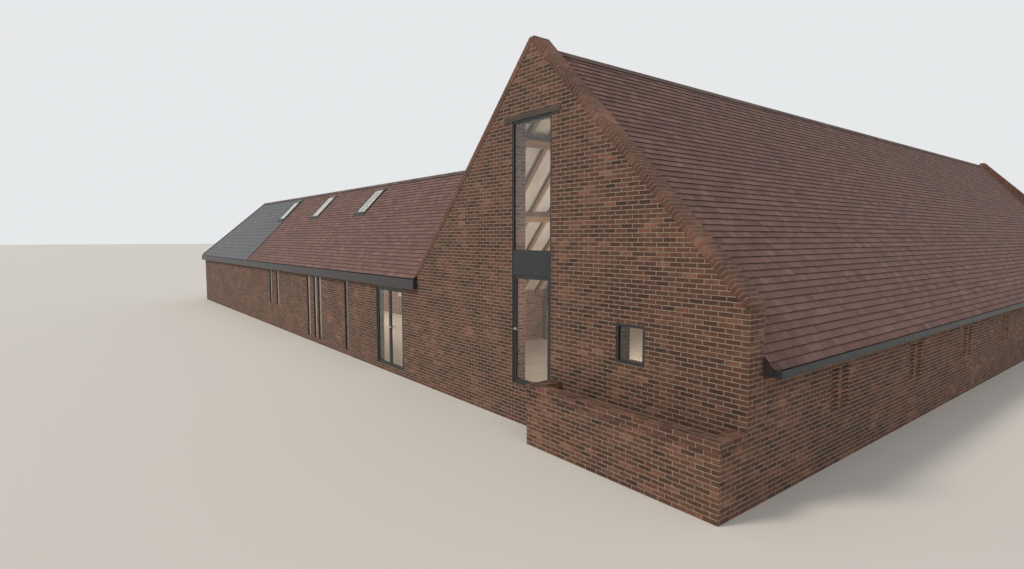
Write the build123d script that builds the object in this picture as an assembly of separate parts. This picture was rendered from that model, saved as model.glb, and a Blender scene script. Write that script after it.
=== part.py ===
"""Brick barn with a glazed gable and a long lower wing, in millimetres.

The barn's ridge runs along Y over X = 0, and its front gable stands in the plane Y = 0.
The wing runs off to the left (towards -X), its front wall flush with the gable.
Z = 0 is the level ground that every wall stands on.
"""
from build123d import *
import os
from math import atan, cos, hypot, sin

# Barn: walls and floor
barn_width = 8480            # over the outer faces of the side walls
barn_length = 28200          # over the outer faces of the two gables
wall_t = 340                 # one and a half bricks
floor_z = 750                # top of the barn's floor above the ground
floor_t = 150

# Barn: gables with raised brick copings
kneeler_rise = 860           # top of the coping at the outer corner, above the roof's edge
rake_rise = 210              # where the two rakes of the coping would meet, above the roof's ridge
apex_flat = 120              # width of the blunt top
coping_t = 110               # bricks laid on edge, square to the rake
coping_proud = 8             # beyond the gable's outer face

# Barn: roof
eaves_out = 130              # roof edge beyond the side wall's face
eaves_z = 1850               # upper face of the roof at its lower edge
ridge_z = 6900               # upper face of the roof at the ridge
roof_t = 180                 # tiles' bed, boarding, rafters and plaster
ridge_tile_w = 220           # one side of the ridge capping, along the slope
ridge_tile_t = 28

# Barn: tall opening in the front gable
slot_x = -20
slot_w = 1100
door_h = 2115                # doorway's clear height
spandrel_h = 380
slot_top_drop = 1242         # from the ridge down to the lintel's underside
lintel_h = 100
lintel_bearing = 220
lintel_proud = 15

# Frames and glass, all flush with the outer wall faces
frame_w = 45
slit_frame_w = 25
frame_d = 60
frame_set = 8                # frame's face behind the wall's face
pane_t = 24
leaf_t = 50
leaf_stile = 56
leaf_bottom_rail = 80
leaf_gap = 6                 # running clearance round a leaf
floor_gap = 10               # clearance under a leaf
hinge_r = 8                  # knuckle of a lift-off hinge
hinge_h = 100
hinge_plate_w = 30
hinge_plate_t = 2.5
knuckle_gap = 1
lever_h = 1050               # lever handle above the floor
lever_length = 120
lever_out = 40               # from the leaf's face to the lever's near face
lever_t = 12
lever_w = 20
rose_r = 26
rose_t = 10
neck_r = 9

# Small window in the front gable
small_x = 2315
small_w = 560
small_sill_z = 1587
small_h = 621

# Brick ventilation slots in the side walls
vent_first_y = 2700
vent_pitch = 3300
vent_columns = 2
vent_hole_w = 250
vent_post_w = 110
vent_base_z = 828
vent_course = 69             # one course of brick
vent_web = 36
vent_holes = 10              # in each column of a group

# Barn: rafters, purlins and timber trusses
rafter_first_y = 720
rafter_pitch = 550
rafter_w = 100
rafter_d = 65                # below the plaster
purlin_d = 150
purlin_w = 160
purlin_at = (0.46, 0.775)    # upper edges, from eaves to ridge
truss_bays = 8
timber_t = 150               # thickness of truss members, along the barn
principal_d = 220
tie_z = 3950                 # underside of the raised tie
tie_d = 200
collar_z = 5050
collar_d = 160
brace_d = 130
post_w = 180

# Planter against the gable
planter_x0 = 600
planter_depth = 600
planter_t = 215
planter_z = 1035
planter_rim_h = 102         # bricks on edge along the top
planter_rim_out = 10

# Wing
wing_end_x = 28950           # distance of the end wall's face from the ridge line
wing_depth = 5300
wing_wall_t = 240
wing_floor_z = 150
wing_head_z = 2250           # head of the openings, under the timber wall heads
wing_eaves_out = 110
wing_eaves_z = 2525
wing_ridge_z = 5442
wing_roof_t = 150
wing_gutter_h = 238
eaves_nose = 60              # roof's bed carried out over the gutter
bed_t = 30
slate_x = 19470              # joint between tiles and slates, from the ridge line
hip_out = 400                # roof's overhang past the end wall
hip_run = 3000               # plan length of the hipped end
lead_w = 120                 # lead on each side of a hip
lead_t = 25
lead_joint = 2               # between the two hips' leads at the ridge
verge_w = 100                # lead strip where the slates meet the tiles

# Wing: openings
wing_door_x = 5742
wing_door_w = 1550
slit_w = 280
tall_slits = (8575, 10810, 11230, 11865)
short_slits = (15390, 16290)
short_sill_z = 897
rear_windows = (9000, 14500, 20000)
rear_window_w = 1200
rear_sill_z = 966
roof_windows = (11150, 15650, 20030)
roof_window_w = 840
roof_window_l = 1220
roof_window_low = 0.623      # lower edge, as a share of the way up the slope
roof_window_frame = 70
roof_window_proud = 45
roof_window_cut = 200        # how far the opening is cut to each side of the slope

# Gutters of the barn
gutter_w = 130
gutter_h = 105
gutter_drop = 12             # rim below the roof's edge
gutter_wall = 6

# Worked out from the sizes above
half_w = barn_width / 2
inner_x = half_w - wall_t
front_in = wall_t
rear_in = barn_length - wall_t
roof_edge_x = half_w + eaves_out
kneeler_z = eaves_z + kneeler_rise
rake_apex_z = ridge_z + rake_rise
roof_fall = (ridge_z - eaves_z) / roof_edge_x
roof_angle = atan(roof_fall)
roof_drop = roof_t / cos(roof_angle)
soffit_z = ridge_z - roof_drop - roof_fall * half_w
rake_fall = (rake_apex_z - kneeler_z) / half_w
coping_drop = coping_t / cos(atan(rake_fall))
slot_x0 = slot_x - slot_w / 2
slot_x1 = slot_x + slot_w / 2
door_top_z = floor_z + door_h
upper_z = door_top_z + spandrel_h
slot_top_z = ridge_z - slot_top_drop
lintel_top_z = slot_top_z + lintel_h
small_x0 = small_x - small_w / 2
small_x1 = small_x + small_w / 2
vent_top_z = vent_base_z + vent_holes * vent_course + vent_web
vent_group_w = vent_columns * vent_hole_w + vent_post_w
wing_ridge_y = wing_depth / 2
wing_half = wing_ridge_y + wing_eaves_out
wing_fall = (wing_ridge_z - wing_eaves_z) / wing_half
wing_angle = atan(wing_fall)
wing_roof_drop = wing_roof_t / cos(wing_angle)
wing_back = wing_depth - wing_wall_t
hip_fall = (wing_ridge_z - wing_eaves_z) / hip_run
hip_drop = wing_roof_t / cos(atan(hip_fall))


def block(x0, x1, y0, y1, z0, z1):
    """A plain rectangular block between the given limits."""
    place = Pos((x0 + x1) / 2, (y0 + y1) / 2, (z0 + z1) / 2)
    return place * Box(x1 - x0, y1 - y0, z1 - z0)


def profile_y(points, y0, y1):
    """A profile drawn in X and Z, carried along Y."""
    outline = Polyline(*[(x, y0, z) for x, z in points], close=True)
    return extrude(make_face(outline), amount=y1 - y0, dir=(0, 1, 0))


def profile_x(points, x0, x1):
    """A profile drawn in Y and Z, carried along X."""
    outline = Polyline(*[(x0, y, z) for y, z in points], close=True)
    return extrude(make_face(outline), amount=x1 - x0, dir=(1, 0, 0))


def plan_block(points, z0, z1):
    """An outline drawn in plan, carried up from z0 to z1."""
    outline = Polyline(*[(x, y, z0) for x, y in points], close=True)
    return extrude(make_face(outline), amount=z1 - z0, dir=(0, 0, 1))


def mirrored(piece):
    """The same piece on the other side of the ridge line."""
    return mirror(piece, about=Plane.YZ)


def ring(x0, x1, y0, y1, z0, z1, width, sill=True):
    """A frame of four members, or three where it has no sill."""
    low = z0 + width if sill else z0 - 1
    return block(x0, x1, y0, y1, z0, z1) - block(x0 + width, x1 - width, y0 - 1, y1 + 1, low, z1 - width)


def save(node, *pieces):
    """Write the solids of one node."""
    solids = [solid for piece in pieces for solid in piece.solids()]
    shape = solids[0] if len(solids) == 1 else Compound(children=solids)
    shape.label = node
    export_step(shape, f"parts/{node}.step")


def rake_z(x):
    """Top of the coping above a distance x from the ridge line."""
    return rake_apex_z - rake_fall * abs(x)


def roof_z(x):
    """Upper face of the barn's roof."""
    return ridge_z - roof_fall * abs(x)


def ceiling_z(x):
    """Underside of the barn's roof."""
    return roof_z(x) - roof_drop


def rafter_z(x):
    """Underside of the common rafters."""
    return ceiling_z(x) - rafter_d / cos(roof_angle)


def purlin_z(x):
    """Underside of the purlins, where the trusses carry them."""
    return rafter_z(x) - purlin_d / cos(roof_angle)


def truss_z(x):
    """Underside of the trusses' principals."""
    return purlin_z(x) - principal_d / cos(roof_angle)


def truss_x(z):
    """Distance from the ridge line to the inside of a principal at a height z."""
    return (truss_z(0) - z) / roof_fall


def wing_z(y):
    """Upper face of the wing's roof."""
    return wing_ridge_z - wing_fall * abs(y - wing_ridge_y)


# Gables

def gable(y0):
    """The whole gable wall below its coping, as a blank."""
    top = rake_apex_z - coping_drop
    cut = apex_flat / 2
    blunt = rake_z(cut) - coping_drop
    points = [(-half_w, 0), (half_w, 0), (half_w, rake_z(half_w) - coping_drop), (cut, blunt),
              (-cut, blunt), (-half_w, rake_z(half_w) - coping_drop)]
    return profile_y(points, y0, y0 + wall_t)


def front_gable():
    """The front gable in four pieces round its tall opening."""
    wall = gable(0)
    lintel = block(slot_x0 - lintel_bearing, slot_x1 + lintel_bearing, -lintel_proud, wall_t, slot_top_z,
                   lintel_top_z)
    window = block(small_x0, small_x1, -1, wall_t + 1, small_sill_z, small_sill_z + small_h)
    high = rake_apex_z
    save("gable_left", wall & block(-half_w, slot_x0, 0, wall_t, 0, high) - lintel)
    save("gable_right", (wall & block(slot_x1, half_w, 0, wall_t, 0, high)) - lintel - window)
    save("gable_head", wall & block(slot_x0, slot_x1, 0, wall_t, lintel_top_z, high))
    beam = block(slot_x0, slot_x1, frame_set + frame_d, wall_t, door_top_z, upper_z)
    save("slot_lintels", lintel, beam)


def rear_gable():
    """The rear gable, with the same small window, mirrored."""
    y0 = barn_length - wall_t
    window = block(small_x0, small_x1, y0 - 1, barn_length + 1, small_sill_z, small_sill_z + small_h)
    save("rear_gable", gable(y0) - window - mirrored(window))


def copings():
    """Bricks on edge along the rakes of both gables."""
    cut = apex_flat / 2
    flat = rake_z(cut)
    points = [(-half_w, kneeler_z), (-cut, flat), (cut, flat), (half_w, kneeler_z),
              (half_w, kneeler_z - coping_drop), (cut, flat - coping_drop),
              (-cut, flat - coping_drop), (-half_w, kneeler_z - coping_drop)]
    save("copings", profile_y(points, -coping_proud, wall_t),
         profile_y(points, rear_in, barn_length + coping_proud))


# Side walls with their ventilation slots

def vent_groups(first_y):
    """Start of each group of slots along a side wall that begins at first_y."""
    starts = []
    y = vent_first_y - vent_group_w / 2
    while y + vent_group_w < rear_in - wall_t:
        if y > first_y + wall_t:
            starts.append(y)
        y += vent_pitch
    return starts


def side_wall(first_y):
    """Base, piers and head of the right wall, and the lattice of each group of slots."""
    base = block(inner_x, half_w, front_in, rear_in, 0, vent_base_z)
    piers = []
    lattices = []
    y = front_in
    for start in vent_groups(first_y):
        piers.append(block(inner_x, half_w, y, start, vent_base_z, vent_top_z))
        lattices.append(lattice(start))
        y = start + vent_group_w
    piers.append(block(inner_x, half_w, y, rear_in, vent_base_z, vent_top_z))
    top = [(inner_x, vent_top_z), (half_w, vent_top_z), (half_w, ceiling_z(half_w)), (inner_x, ceiling_z(inner_x))]
    return base, piers, profile_y(top, front_in, rear_in), lattices


def lattice(start):
    """Posts and webs of one group of slots: webs of thin brick leave a slot in every course."""
    webs = []
    posts = []
    for column in range(vent_columns):
        y0 = start + column * (vent_hole_w + vent_post_w)
        for course in range(vent_holes + 1):
            z0 = vent_base_z + course * vent_course
            webs.append(block(inner_x, half_w, y0, y0 + vent_hole_w, z0, z0 + vent_web))
        if column:
            posts.append(block(inner_x, half_w, y0 - vent_post_w, y0, vent_base_z, vent_top_z))
    return webs, posts


def side_walls():
    base, piers, head, lattices = side_wall(front_in)
    left_base, left_piers, left_head, left_lattices = side_wall(wing_depth)
    save("side_wall_bases", base, mirrored(left_base))
    near_webs, near_posts = lattices[0]
    save("side_wall_piers", *piers, *near_posts, *[mirrored(pier) for pier in left_piers])
    save("side_wall_heads", head, mirrored(left_head))
    grilles = [posts[0].fuse(*webs) for webs, posts in lattices[1:]]
    grilles += [mirrored(posts[0].fuse(*webs)) for webs, posts in left_lattices]
    save("vent_lattices", *near_webs, *grilles)


def barn_floor():
    save("barn_floor", block(-inner_x, inner_x, front_in, rear_in, floor_z - floor_t, floor_z))


def door_bases():
    """Brickwork under the two doorways, up to the floors behind them."""
    barn = block(slot_x0, slot_x1, 0, wall_t, 0, floor_z)
    x0 = -wing_door_x - wing_door_w / 2
    wing = block(x0, x0 + wing_door_w, 0, wing_wall_t, 0, wing_floor_z)
    save("door_bases", barn, wing)


# Barn roof

def barn_roof():
    """Two slopes, each with a boxed soffit level with the wall's outer corner."""
    points = [(0, ridge_z), (roof_edge_x, eaves_z), (roof_edge_x, soffit_z), (half_w, soffit_z),
              (0, ridge_z - roof_drop)]
    right = profile_y(points, front_in, rear_in)
    save("roof_right", right)
    inside_wing = block(-roof_edge_x - 1, -half_w, front_in, wing_depth, 0, ridge_z)
    save("roof_left", mirrored(right) - inside_wing)


def ridge_caps():
    """Angled capping on the barn's ridge, the wing's ridge and its two hips."""
    run = ridge_tile_w * cos(roof_angle)
    fall = ridge_tile_w * sin(roof_angle)
    thick = ridge_tile_t / cos(roof_angle)
    barn = profile_y([(0, ridge_z + thick), (run, ridge_z + thick - fall), (run, ridge_z - fall), (0, ridge_z),
                      (-run, ridge_z - fall), (-run, ridge_z + thick - fall)], front_in, rear_in)
    run = ridge_tile_w * cos(wing_angle)
    fall = ridge_tile_w * sin(wing_angle)
    thick = ridge_tile_t / cos(wing_angle)
    y, z = wing_ridge_y, wing_ridge_z
    hip_x = -(wing_end_x + hip_out - hip_run)
    wing = profile_x([(y, z + thick), (y + run, z + thick - fall), (y + run, z - fall), (y, z),
                      (y - run, z - fall), (y - run, z + thick - fall)], hip_x, 0) - barn_wedge(ridge_tile_t)
    save("ridge_tiles", barn, wing)


def barn_wedge(extra=0):
    """Everything under the barn's roof, to trim what meets it."""
    lift = extra / cos(roof_angle)
    points = [(-roof_edge_x, 0), (-roof_edge_x, eaves_z + lift), (0, ridge_z + lift), (half_w, 0)]
    return profile_y(points, front_in, rear_in)


# Wing

def wing_slab(plan):
    """The wing's two slopes as one pitched slab with a thin nose over each gutter, cut to an outline in plan."""
    bed = bed_t / cos(wing_angle)
    y0, y1 = -eaves_nose, wing_depth + eaves_nose
    points = [(y0, wing_z(y0)), (wing_ridge_y, wing_ridge_z), (y1, wing_z(y1)), (y1, wing_z(y1) - bed),
              (wing_depth, wing_z(wing_depth) - bed), (wing_depth, wing_z(wing_depth) - wing_roof_drop),
              (wing_ridge_y, wing_ridge_z - wing_roof_drop), (0, wing_z(0) - wing_roof_drop),
              (0, wing_z(0) - bed), (y0, wing_z(y0) - bed)]
    xs = [x for x, y in plan]
    slab = profile_x(points, min(xs), max(xs))
    return slab & plan_block(plan, 0, ridge_z)


def hip_z(x):
    """Upper face of the hipped end's roof."""
    return wing_eaves_z + hip_fall * (x + wing_end_x + hip_out)


def hip_slab():
    """The hipped end, pitched along X, with its nose over the end gutter."""
    x0 = -(wing_end_x + hip_out)
    x1 = x0 + hip_run
    x_nose = x0 + wing_eaves_out - eaves_nose
    x_in = x0 + wing_eaves_out
    bed = bed_t / cos(atan(hip_fall))
    points = [(x_nose, hip_z(x_nose)), (x1, wing_ridge_z), (x1, wing_ridge_z - hip_drop),
              (x_in, hip_z(x_in) - hip_drop), (x_in, hip_z(x_in) - bed), (x_nose, hip_z(x_nose) - bed)]
    slab = profile_y(points, -eaves_nose, wing_depth + eaves_nose)
    plan = [(x0, -wing_eaves_out), (x1, wing_ridge_y), (x0, wing_depth + wing_eaves_out)]
    front_trough = block(x0, x1, -wing_eaves_out, 0, 0, wing_eaves_z)
    rear_trough = block(x0, x1, wing_depth, wing_depth + wing_eaves_out, 0, wing_eaves_z)
    return (slab & plan_block(plan, 0, ridge_z)) - front_trough - rear_trough


def slope_plane(x, share):
    """A plane on the wing's front slope, its x along the eaves and its y up the slope."""
    y = -wing_eaves_out + share * wing_half
    return Plane(origin=(x, y, wing_z(y)), x_dir=(1, 0, 0), z_dir=(0, -sin(wing_angle), cos(wing_angle)))


def roof_window(x):
    """Opening, frame and pane of one roof window."""
    place = slope_plane(-x, roof_window_low)
    w, l, f = roof_window_w, roof_window_l, roof_window_frame
    middle = Pos(0, l / 2, 0)
    opening = place * (middle * Box(w, l, 2 * roof_window_cut))
    depth = wing_roof_t + roof_window_proud
    low = Pos(0, l / 2, roof_window_proud - depth / 2)
    frame = place * (low * (Box(w, l, depth) - Box(w - 2 * f, l - 2 * f, 2 * depth)))
    pane = place * (Pos(0, l / 2, roof_window_proud - pane_t) * Box(w - 2 * f, l - 2 * f, pane_t))
    return opening, frame, pane


def wing_roof():
    x_end = -(wing_end_x + hip_out)
    y0 = -wing_eaves_out
    y1 = wing_depth + wing_eaves_out
    y_mid = wing_ridge_y
    x_top = x_end + hip_run
    front = [(-slate_x, y0), (-slate_x, y_mid), (0, y_mid), (0, front_in), (-half_w, front_in), (-half_w, y0)]
    rear = [(-slate_x, y_mid), (-slate_x, y1), (0, y1), (0, y_mid)]
    slate_front = [(x_end, y0), (x_top, y_mid), (-slate_x, y_mid), (-slate_x, y0)]
    slate_rear = [(x_end, y1), (-slate_x, y1), (-slate_x, y_mid), (x_top, y_mid)]
    wedge = barn_wedge()
    windows = [roof_window(x) for x in roof_windows]
    holes = [opening for opening, frame, pane in windows]
    tiles_front = wing_slab(front) - wedge
    slates_front = wing_slab(slate_front)
    for hole in holes:
        tiles_front = tiles_front - hole
        slates_front = slates_front - hole
    end_trough = block(x_end, x_end + wing_eaves_out, y0, y1, 0, wing_eaves_z)
    save("wing_tiled_front", tiles_front)
    save("wing_tiled_rear", wing_slab(rear) - wedge)
    save("wing_slates", slates_front - end_trough, wing_slab(slate_rear) - end_trough, hip_slab())
    return [(frame, pane) for opening, frame, pane in windows]


def wing_skin():
    """A layer of the lead's thickness over the whole upper face of the wing's roof."""
    y0, y1 = -eaves_nose, wing_depth + eaves_nose
    x0 = -(wing_end_x + hip_out) + wing_eaves_out - eaves_nose
    x1 = -slate_x + verge_w
    layers = []
    for lift in (lead_t, 0):
        slope = lift / cos(wing_angle)
        hip = lift / cos(atan(hip_fall))
        across = [(y0, 0), (y0, wing_z(y0) + slope), (wing_ridge_y, wing_ridge_z + slope), (y1, wing_z(y1) + slope),
                  (y1, 0)]
        along = [(x0, 0), (x0, hip_z(x0) + hip), (x1, hip_z(x1) + hip), (x1, 0)]
        layers.append(profile_x(across, x0, x1) & profile_y(along, y0, y1))
    return layers[0] - layers[1]


def lead_caps():
    """Lead over the two hips, and a lead strip on each slope where the slates meet the tiles."""
    skin = wing_skin()
    x0 = -(wing_end_x + hip_out)
    x1 = x0 + hip_run
    length = hypot(hip_run, wing_half)
    off_x, off_y = lead_w * wing_half / length, lead_w * hip_run / length
    corner_y = -wing_eaves_out
    band = plan_block([(x0 - off_x, corner_y + off_y), (x0 + off_x, corner_y - off_y),
                       (x1 + off_x, wing_ridge_y - off_y), (x1 - off_x, wing_ridge_y + off_y)], 0, ridge_z)
    front = band & skin & block(x0, x1, corner_y, wing_ridge_y - lead_joint / 2, 0, ridge_z)
    rear = mirror(front, about=Plane.XZ.offset(-wing_ridge_y))
    clear = ridge_tile_w * cos(wing_angle)
    strips = skin & block(-slate_x - verge_w / 2, -slate_x + verge_w / 2, -wing_eaves_out, wing_depth + wing_eaves_out,
                          0, ridge_z)
    strips = strips - block(-slate_x - verge_w, -slate_x + verge_w, wing_ridge_y - clear, wing_ridge_y + clear, 0,
                            2 * ridge_z)
    save("lead_caps", front, rear, strips)


def under_wing_roof():
    """The space below the wing's roof, which the heads of its walls fill."""
    y0, y1 = 0, wing_depth
    x0, x1 = -wing_end_x, -(wing_end_x + hip_out - hip_run)
    drop = wing_roof_drop
    across = [(y0, 0), (y0, wing_z(y0) - drop), (wing_ridge_y, wing_ridge_z - drop), (y1, wing_z(y1) - drop), (y1, 0)]
    along = [(x0, 0), (x0, hip_z(x0) - hip_drop), (x1, hip_z(x1) - hip_drop), (-half_w, hip_z(x1) - hip_drop),
             (-half_w, 0)]
    return profile_x(across, x0, -half_w) & profile_y(along, y0, y1)


def wing_walls():
    door_x0 = -wing_door_x - wing_door_w / 2
    door_x1 = door_x0 + wing_door_w
    x_end = -wing_end_x
    near = block(door_x1, -half_w, 0, wing_wall_t, 0, wing_head_z)
    long = block(x_end, door_x0, 0, wing_wall_t, 0, wing_head_z)
    for x in tall_slits:
        long = long - block(-x - slit_w / 2, -x + slit_w / 2, -1, wing_wall_t + 1, wing_floor_z, wing_head_z + 1)
    for x in short_slits:
        long = long - block(-x - slit_w / 2, -x + slit_w / 2, -1, wing_wall_t + 1, short_sill_z, wing_head_z + 1)
    save("wing_front_wall", near, long)
    rear = block(x_end, -half_w, wing_back, wing_depth, 0, wing_head_z)
    for x in rear_windows:
        rear = rear - block(-x - rear_window_w / 2, -x + rear_window_w / 2, wing_back - 1, wing_depth + 1,
                            rear_sill_z, wing_head_z + 1)
    save("wing_rear_wall", rear)
    save("wing_end_wall", block(x_end, x_end + wing_wall_t, wing_wall_t, wing_back, 0, wing_head_z))
    room = under_wing_roof()
    front_head = block(x_end, -half_w, 0, wing_wall_t, wing_head_z, wing_ridge_z) & room
    rear_head = block(x_end, -half_w, wing_back, wing_depth, wing_head_z, wing_ridge_z) & room
    end_head = block(x_end, x_end + wing_wall_t, wing_wall_t, wing_back, wing_head_z, wing_ridge_z) & room
    save("wing_wall_heads", front_head, rear_head)
    save("wing_end_head", end_head)
    save("wing_floor", block(x_end + wing_wall_t, -half_w, wing_wall_t, wing_back, 0, wing_floor_z))


def trough(x0, x1, y0, y1, low, top):
    """A metal box gutter, open on top, with both ends closed."""
    w = gutter_wall
    return block(x0, x1, y0, y1, low, top) - block(x0 + w, x1 - w, y0 + w, y1 - w, low + w, top + 1)


def wing_gutters():
    """Deep box gutters round the wing's eaves."""
    top = wing_eaves_z
    low = top - wing_gutter_h
    d = wing_eaves_out
    x_end = -(wing_end_x + hip_out)
    front = trough(x_end, -half_w, -d, 0, low, top)
    rear = trough(x_end, -half_w, wing_depth, wing_depth + d, low, top)
    end = trough(x_end, x_end + d, 0, wing_depth, low, top)
    return front, rear, end


# Openings

def fixed_window(x0, x1, z0, z1, front_y=0, inward=1):
    """Frame and pane of a fixed light, just behind a wall face."""
    y_face = front_y + inward * frame_set
    y_back = y_face + inward * frame_d
    y0, y1 = sorted((y_face, y_back))
    frame = ring(x0, x1, y0, y1, z0, z1, frame_w)
    middle = (y0 + y1) / 2
    pane = block(x0 + frame_w, x1 - frame_w, middle - pane_t / 2, middle + pane_t / 2, z0 + frame_w, z1 - frame_w)
    return frame, pane


def narrow_window(x, z0, z1):
    """Frame and pane of a slit: its frame is slimmer."""
    slim = slit_frame_w
    x0, x1 = x - slit_w / 2, x + slit_w / 2
    frame = ring(x0, x1, frame_set, frame_set + frame_d, z0, z1, slim)
    middle = frame_set + frame_d / 2
    pane = block(x0 + slim, x1 - slim, middle - pane_t / 2, middle + pane_t / 2, z0 + slim, z1 - slim)
    return frame, pane


def windows(roof_lights):
    small_top_z = small_sill_z + small_h
    lights = list(roof_lights)
    lights.append(fixed_window(slot_x0, slot_x1, upper_z, slot_top_z))
    lights.append(fixed_window(small_x0, small_x1, small_sill_z, small_top_z))
    lights.append(fixed_window(small_x0, small_x1, small_sill_z, small_top_z, barn_length, -1))
    lights.append(fixed_window(-small_x1, -small_x0, small_sill_z, small_top_z, barn_length, -1))
    lights += [narrow_window(-x, wing_floor_z, wing_head_z) for x in tall_slits]
    lights += [narrow_window(-x, short_sill_z, wing_head_z) for x in short_slits]
    lights += [fixed_window(-x - rear_window_w / 2, -x + rear_window_w / 2, rear_sill_z, wing_head_z, wing_depth, -1)
               for x in rear_windows]
    panel = block(slot_x0, slot_x1, frame_set, frame_set + frame_d, door_top_z, upper_z)
    save("window_frames", *[frame for frame, pane in lights])
    save("spandrel_panel", panel)
    save("window_panes", *[pane for frame, pane in lights])


def leaf(x0, x1, z0, z1):
    """A glazed leaf: its frame and its pane."""
    y0 = frame_set + frame_d - leaf_t
    y1 = frame_set + frame_d
    hole = block(x0 + leaf_stile, x1 - leaf_stile, y0 - 1, y1 + 1, z0 + leaf_bottom_rail, z1 - leaf_stile)
    middle = (y0 + y1) / 2
    pane = block(x0 + leaf_stile, x1 - leaf_stile, middle - pane_t / 2, middle + pane_t / 2,
                 z0 + leaf_bottom_rail, z1 - leaf_stile)
    return block(x0, x1, y0, y1, z0, z1) - hole, pane


def lever(x, z):
    """A lever handle on both faces of a leaf, pointing to the right."""
    y0 = frame_set + frame_d - leaf_t
    y1 = frame_set + frame_d
    neck_l = lever_out + lever_t / 2
    pieces = []
    for face, out in ((y0, -1), (y1, 1)):
        rose = Pos(x, face + out * rose_t / 2, z) * Rot(90, 0, 0) * Cylinder(rose_r, rose_t)
        neck = Pos(x, face + out * neck_l / 2, z) * Rot(90, 0, 0) * Cylinder(neck_r, neck_l)
        near, far = sorted((face + out * lever_out, face + out * (lever_out + lever_t)))
        grip = block(x, x + lever_length, near, far, z - lever_w / 2, z + lever_w / 2)
        pieces.append(rose.fuse(neck, grip))
    return pieces


def half_hinge(edge, side, z0, z1):
    """One knuckle of a hinge between z0 and z1, with its plate.

    edge is the pin's place in X, and side is +1 where the plate lies to the right of it.
    """
    back = frame_set + frame_d
    knuckle = Pos(edge, back + hinge_r, (z0 + z1) / 2) * Cylinder(hinge_r, z1 - z0)
    near, far = sorted((edge + side * leaf_gap / 2, edge + side * (leaf_gap / 2 + hinge_plate_w)))
    return knuckle.fuse(block(near, far, back, back + hinge_plate_t, z0, z1))


def hinge_set(edge, z0, z1, jamb):
    """Three lift-off hinges up the edge of a leaf: the jamb's halves below, the leaf's halves above.

    jamb is +1 where the jamb lies to the right of the leaf's edge.
    """
    pin = edge + jamb * leaf_gap / 2
    half = hinge_h / 2
    slack = knuckle_gap / 2
    heights = (z0 + 2 * hinge_h, (z0 + z1) / 2, z1 - 2 * hinge_h)
    fixed = [half_hinge(pin, jamb, z - half, z - slack) for z in heights]
    moving = [half_hinge(pin, -jamb, z + slack, z + half) for z in heights]
    return fixed, moving


def doors():
    """The gable's door and the wing's pair of doors, with their frames and fittings."""
    face, back = frame_set, frame_set + frame_d
    left = -wing_door_x - wing_door_w / 2
    right = left + wing_door_w
    save("door_frames", ring(slot_x0, slot_x1, face, back, floor_z, door_top_z, frame_w, sill=False),
         ring(left, right, face, back, wing_floor_z, wing_head_z, frame_w, sill=False))

    z0, z1 = floor_z + floor_gap, door_top_z - frame_w - leaf_gap
    x0, x1 = slot_x0 + frame_w + leaf_gap, slot_x1 - frame_w - leaf_gap
    frame, pane = leaf(x0, x1, z0, z1)
    plates, knuckles = hinge_set(x1, z0, z1, 1)
    save("door_leaf", frame)
    save("door_pane", pane)
    save("door_fittings", *lever(x0 + leaf_stile / 2, floor_z + lever_h), *knuckles)

    z0, z1 = wing_floor_z + floor_gap, wing_head_z - frame_w - leaf_gap
    middle = (left + right) / 2
    x0, x1 = left + frame_w + leaf_gap, middle - leaf_gap / 2
    frame, pane = leaf(x0, x1, z0, z1)
    more_plates, knuckles = hinge_set(x0, z0, z1, -1)
    plates += more_plates
    save("wing_leaf_left", frame)
    save("wing_pane_left", pane)
    save("wing_fittings_left", *knuckles)

    x0, x1 = middle + leaf_gap / 2, right - frame_w - leaf_gap
    frame, pane = leaf(x0, x1, z0, z1)
    more_plates, knuckles = hinge_set(x1, z0, z1, 1)
    plates += more_plates
    save("wing_leaf_right", frame)
    save("wing_pane_right", pane)
    save("wing_fittings_right", *lever(x0 + leaf_stile / 2, wing_floor_z + lever_h), *knuckles)
    save("hinge_plates", *plates)


# Roof timbers

def trusses():
    """Principals under the purlins, a raised tie, a collar, braces and wall posts, in each frame."""
    principals, beams, braces, posts = [], [], [], []
    post_x = inner_x - post_w
    bay = (rear_in - front_in) / truss_bays
    for i in range(1, truss_bays):
        y0 = front_in + i * bay - timber_t / 2
        y1 = y0 + timber_t
        principal = profile_y([(0, purlin_z(0)), (inner_x, purlin_z(inner_x)), (inner_x, truss_z(inner_x)),
                               (0, truss_z(0))], y0, y1)
        principals += [principal, mirrored(principal)]
        for z, d in ((tie_z, tie_d), (collar_z, collar_d)):
            low, high = truss_x(z), truss_x(z + d)
            beams.append(profile_y([(-low, z), (low, z), (high, z + d), (-high, z + d)], y0, y1))
        post = profile_y([(post_x, floor_z), (inner_x, floor_z), (inner_x, truss_z(inner_x)),
                          (post_x, truss_z(post_x))], y0, y1)
        posts += [post, mirrored(post)]
        brace = truss_brace(y0, y1)
        braces += [brace, mirrored(brace)]
    save("principals", *principals)
    save("truss_beams", *beams)
    save("truss_braces", *braces)
    save("truss_posts", *posts)


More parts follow.
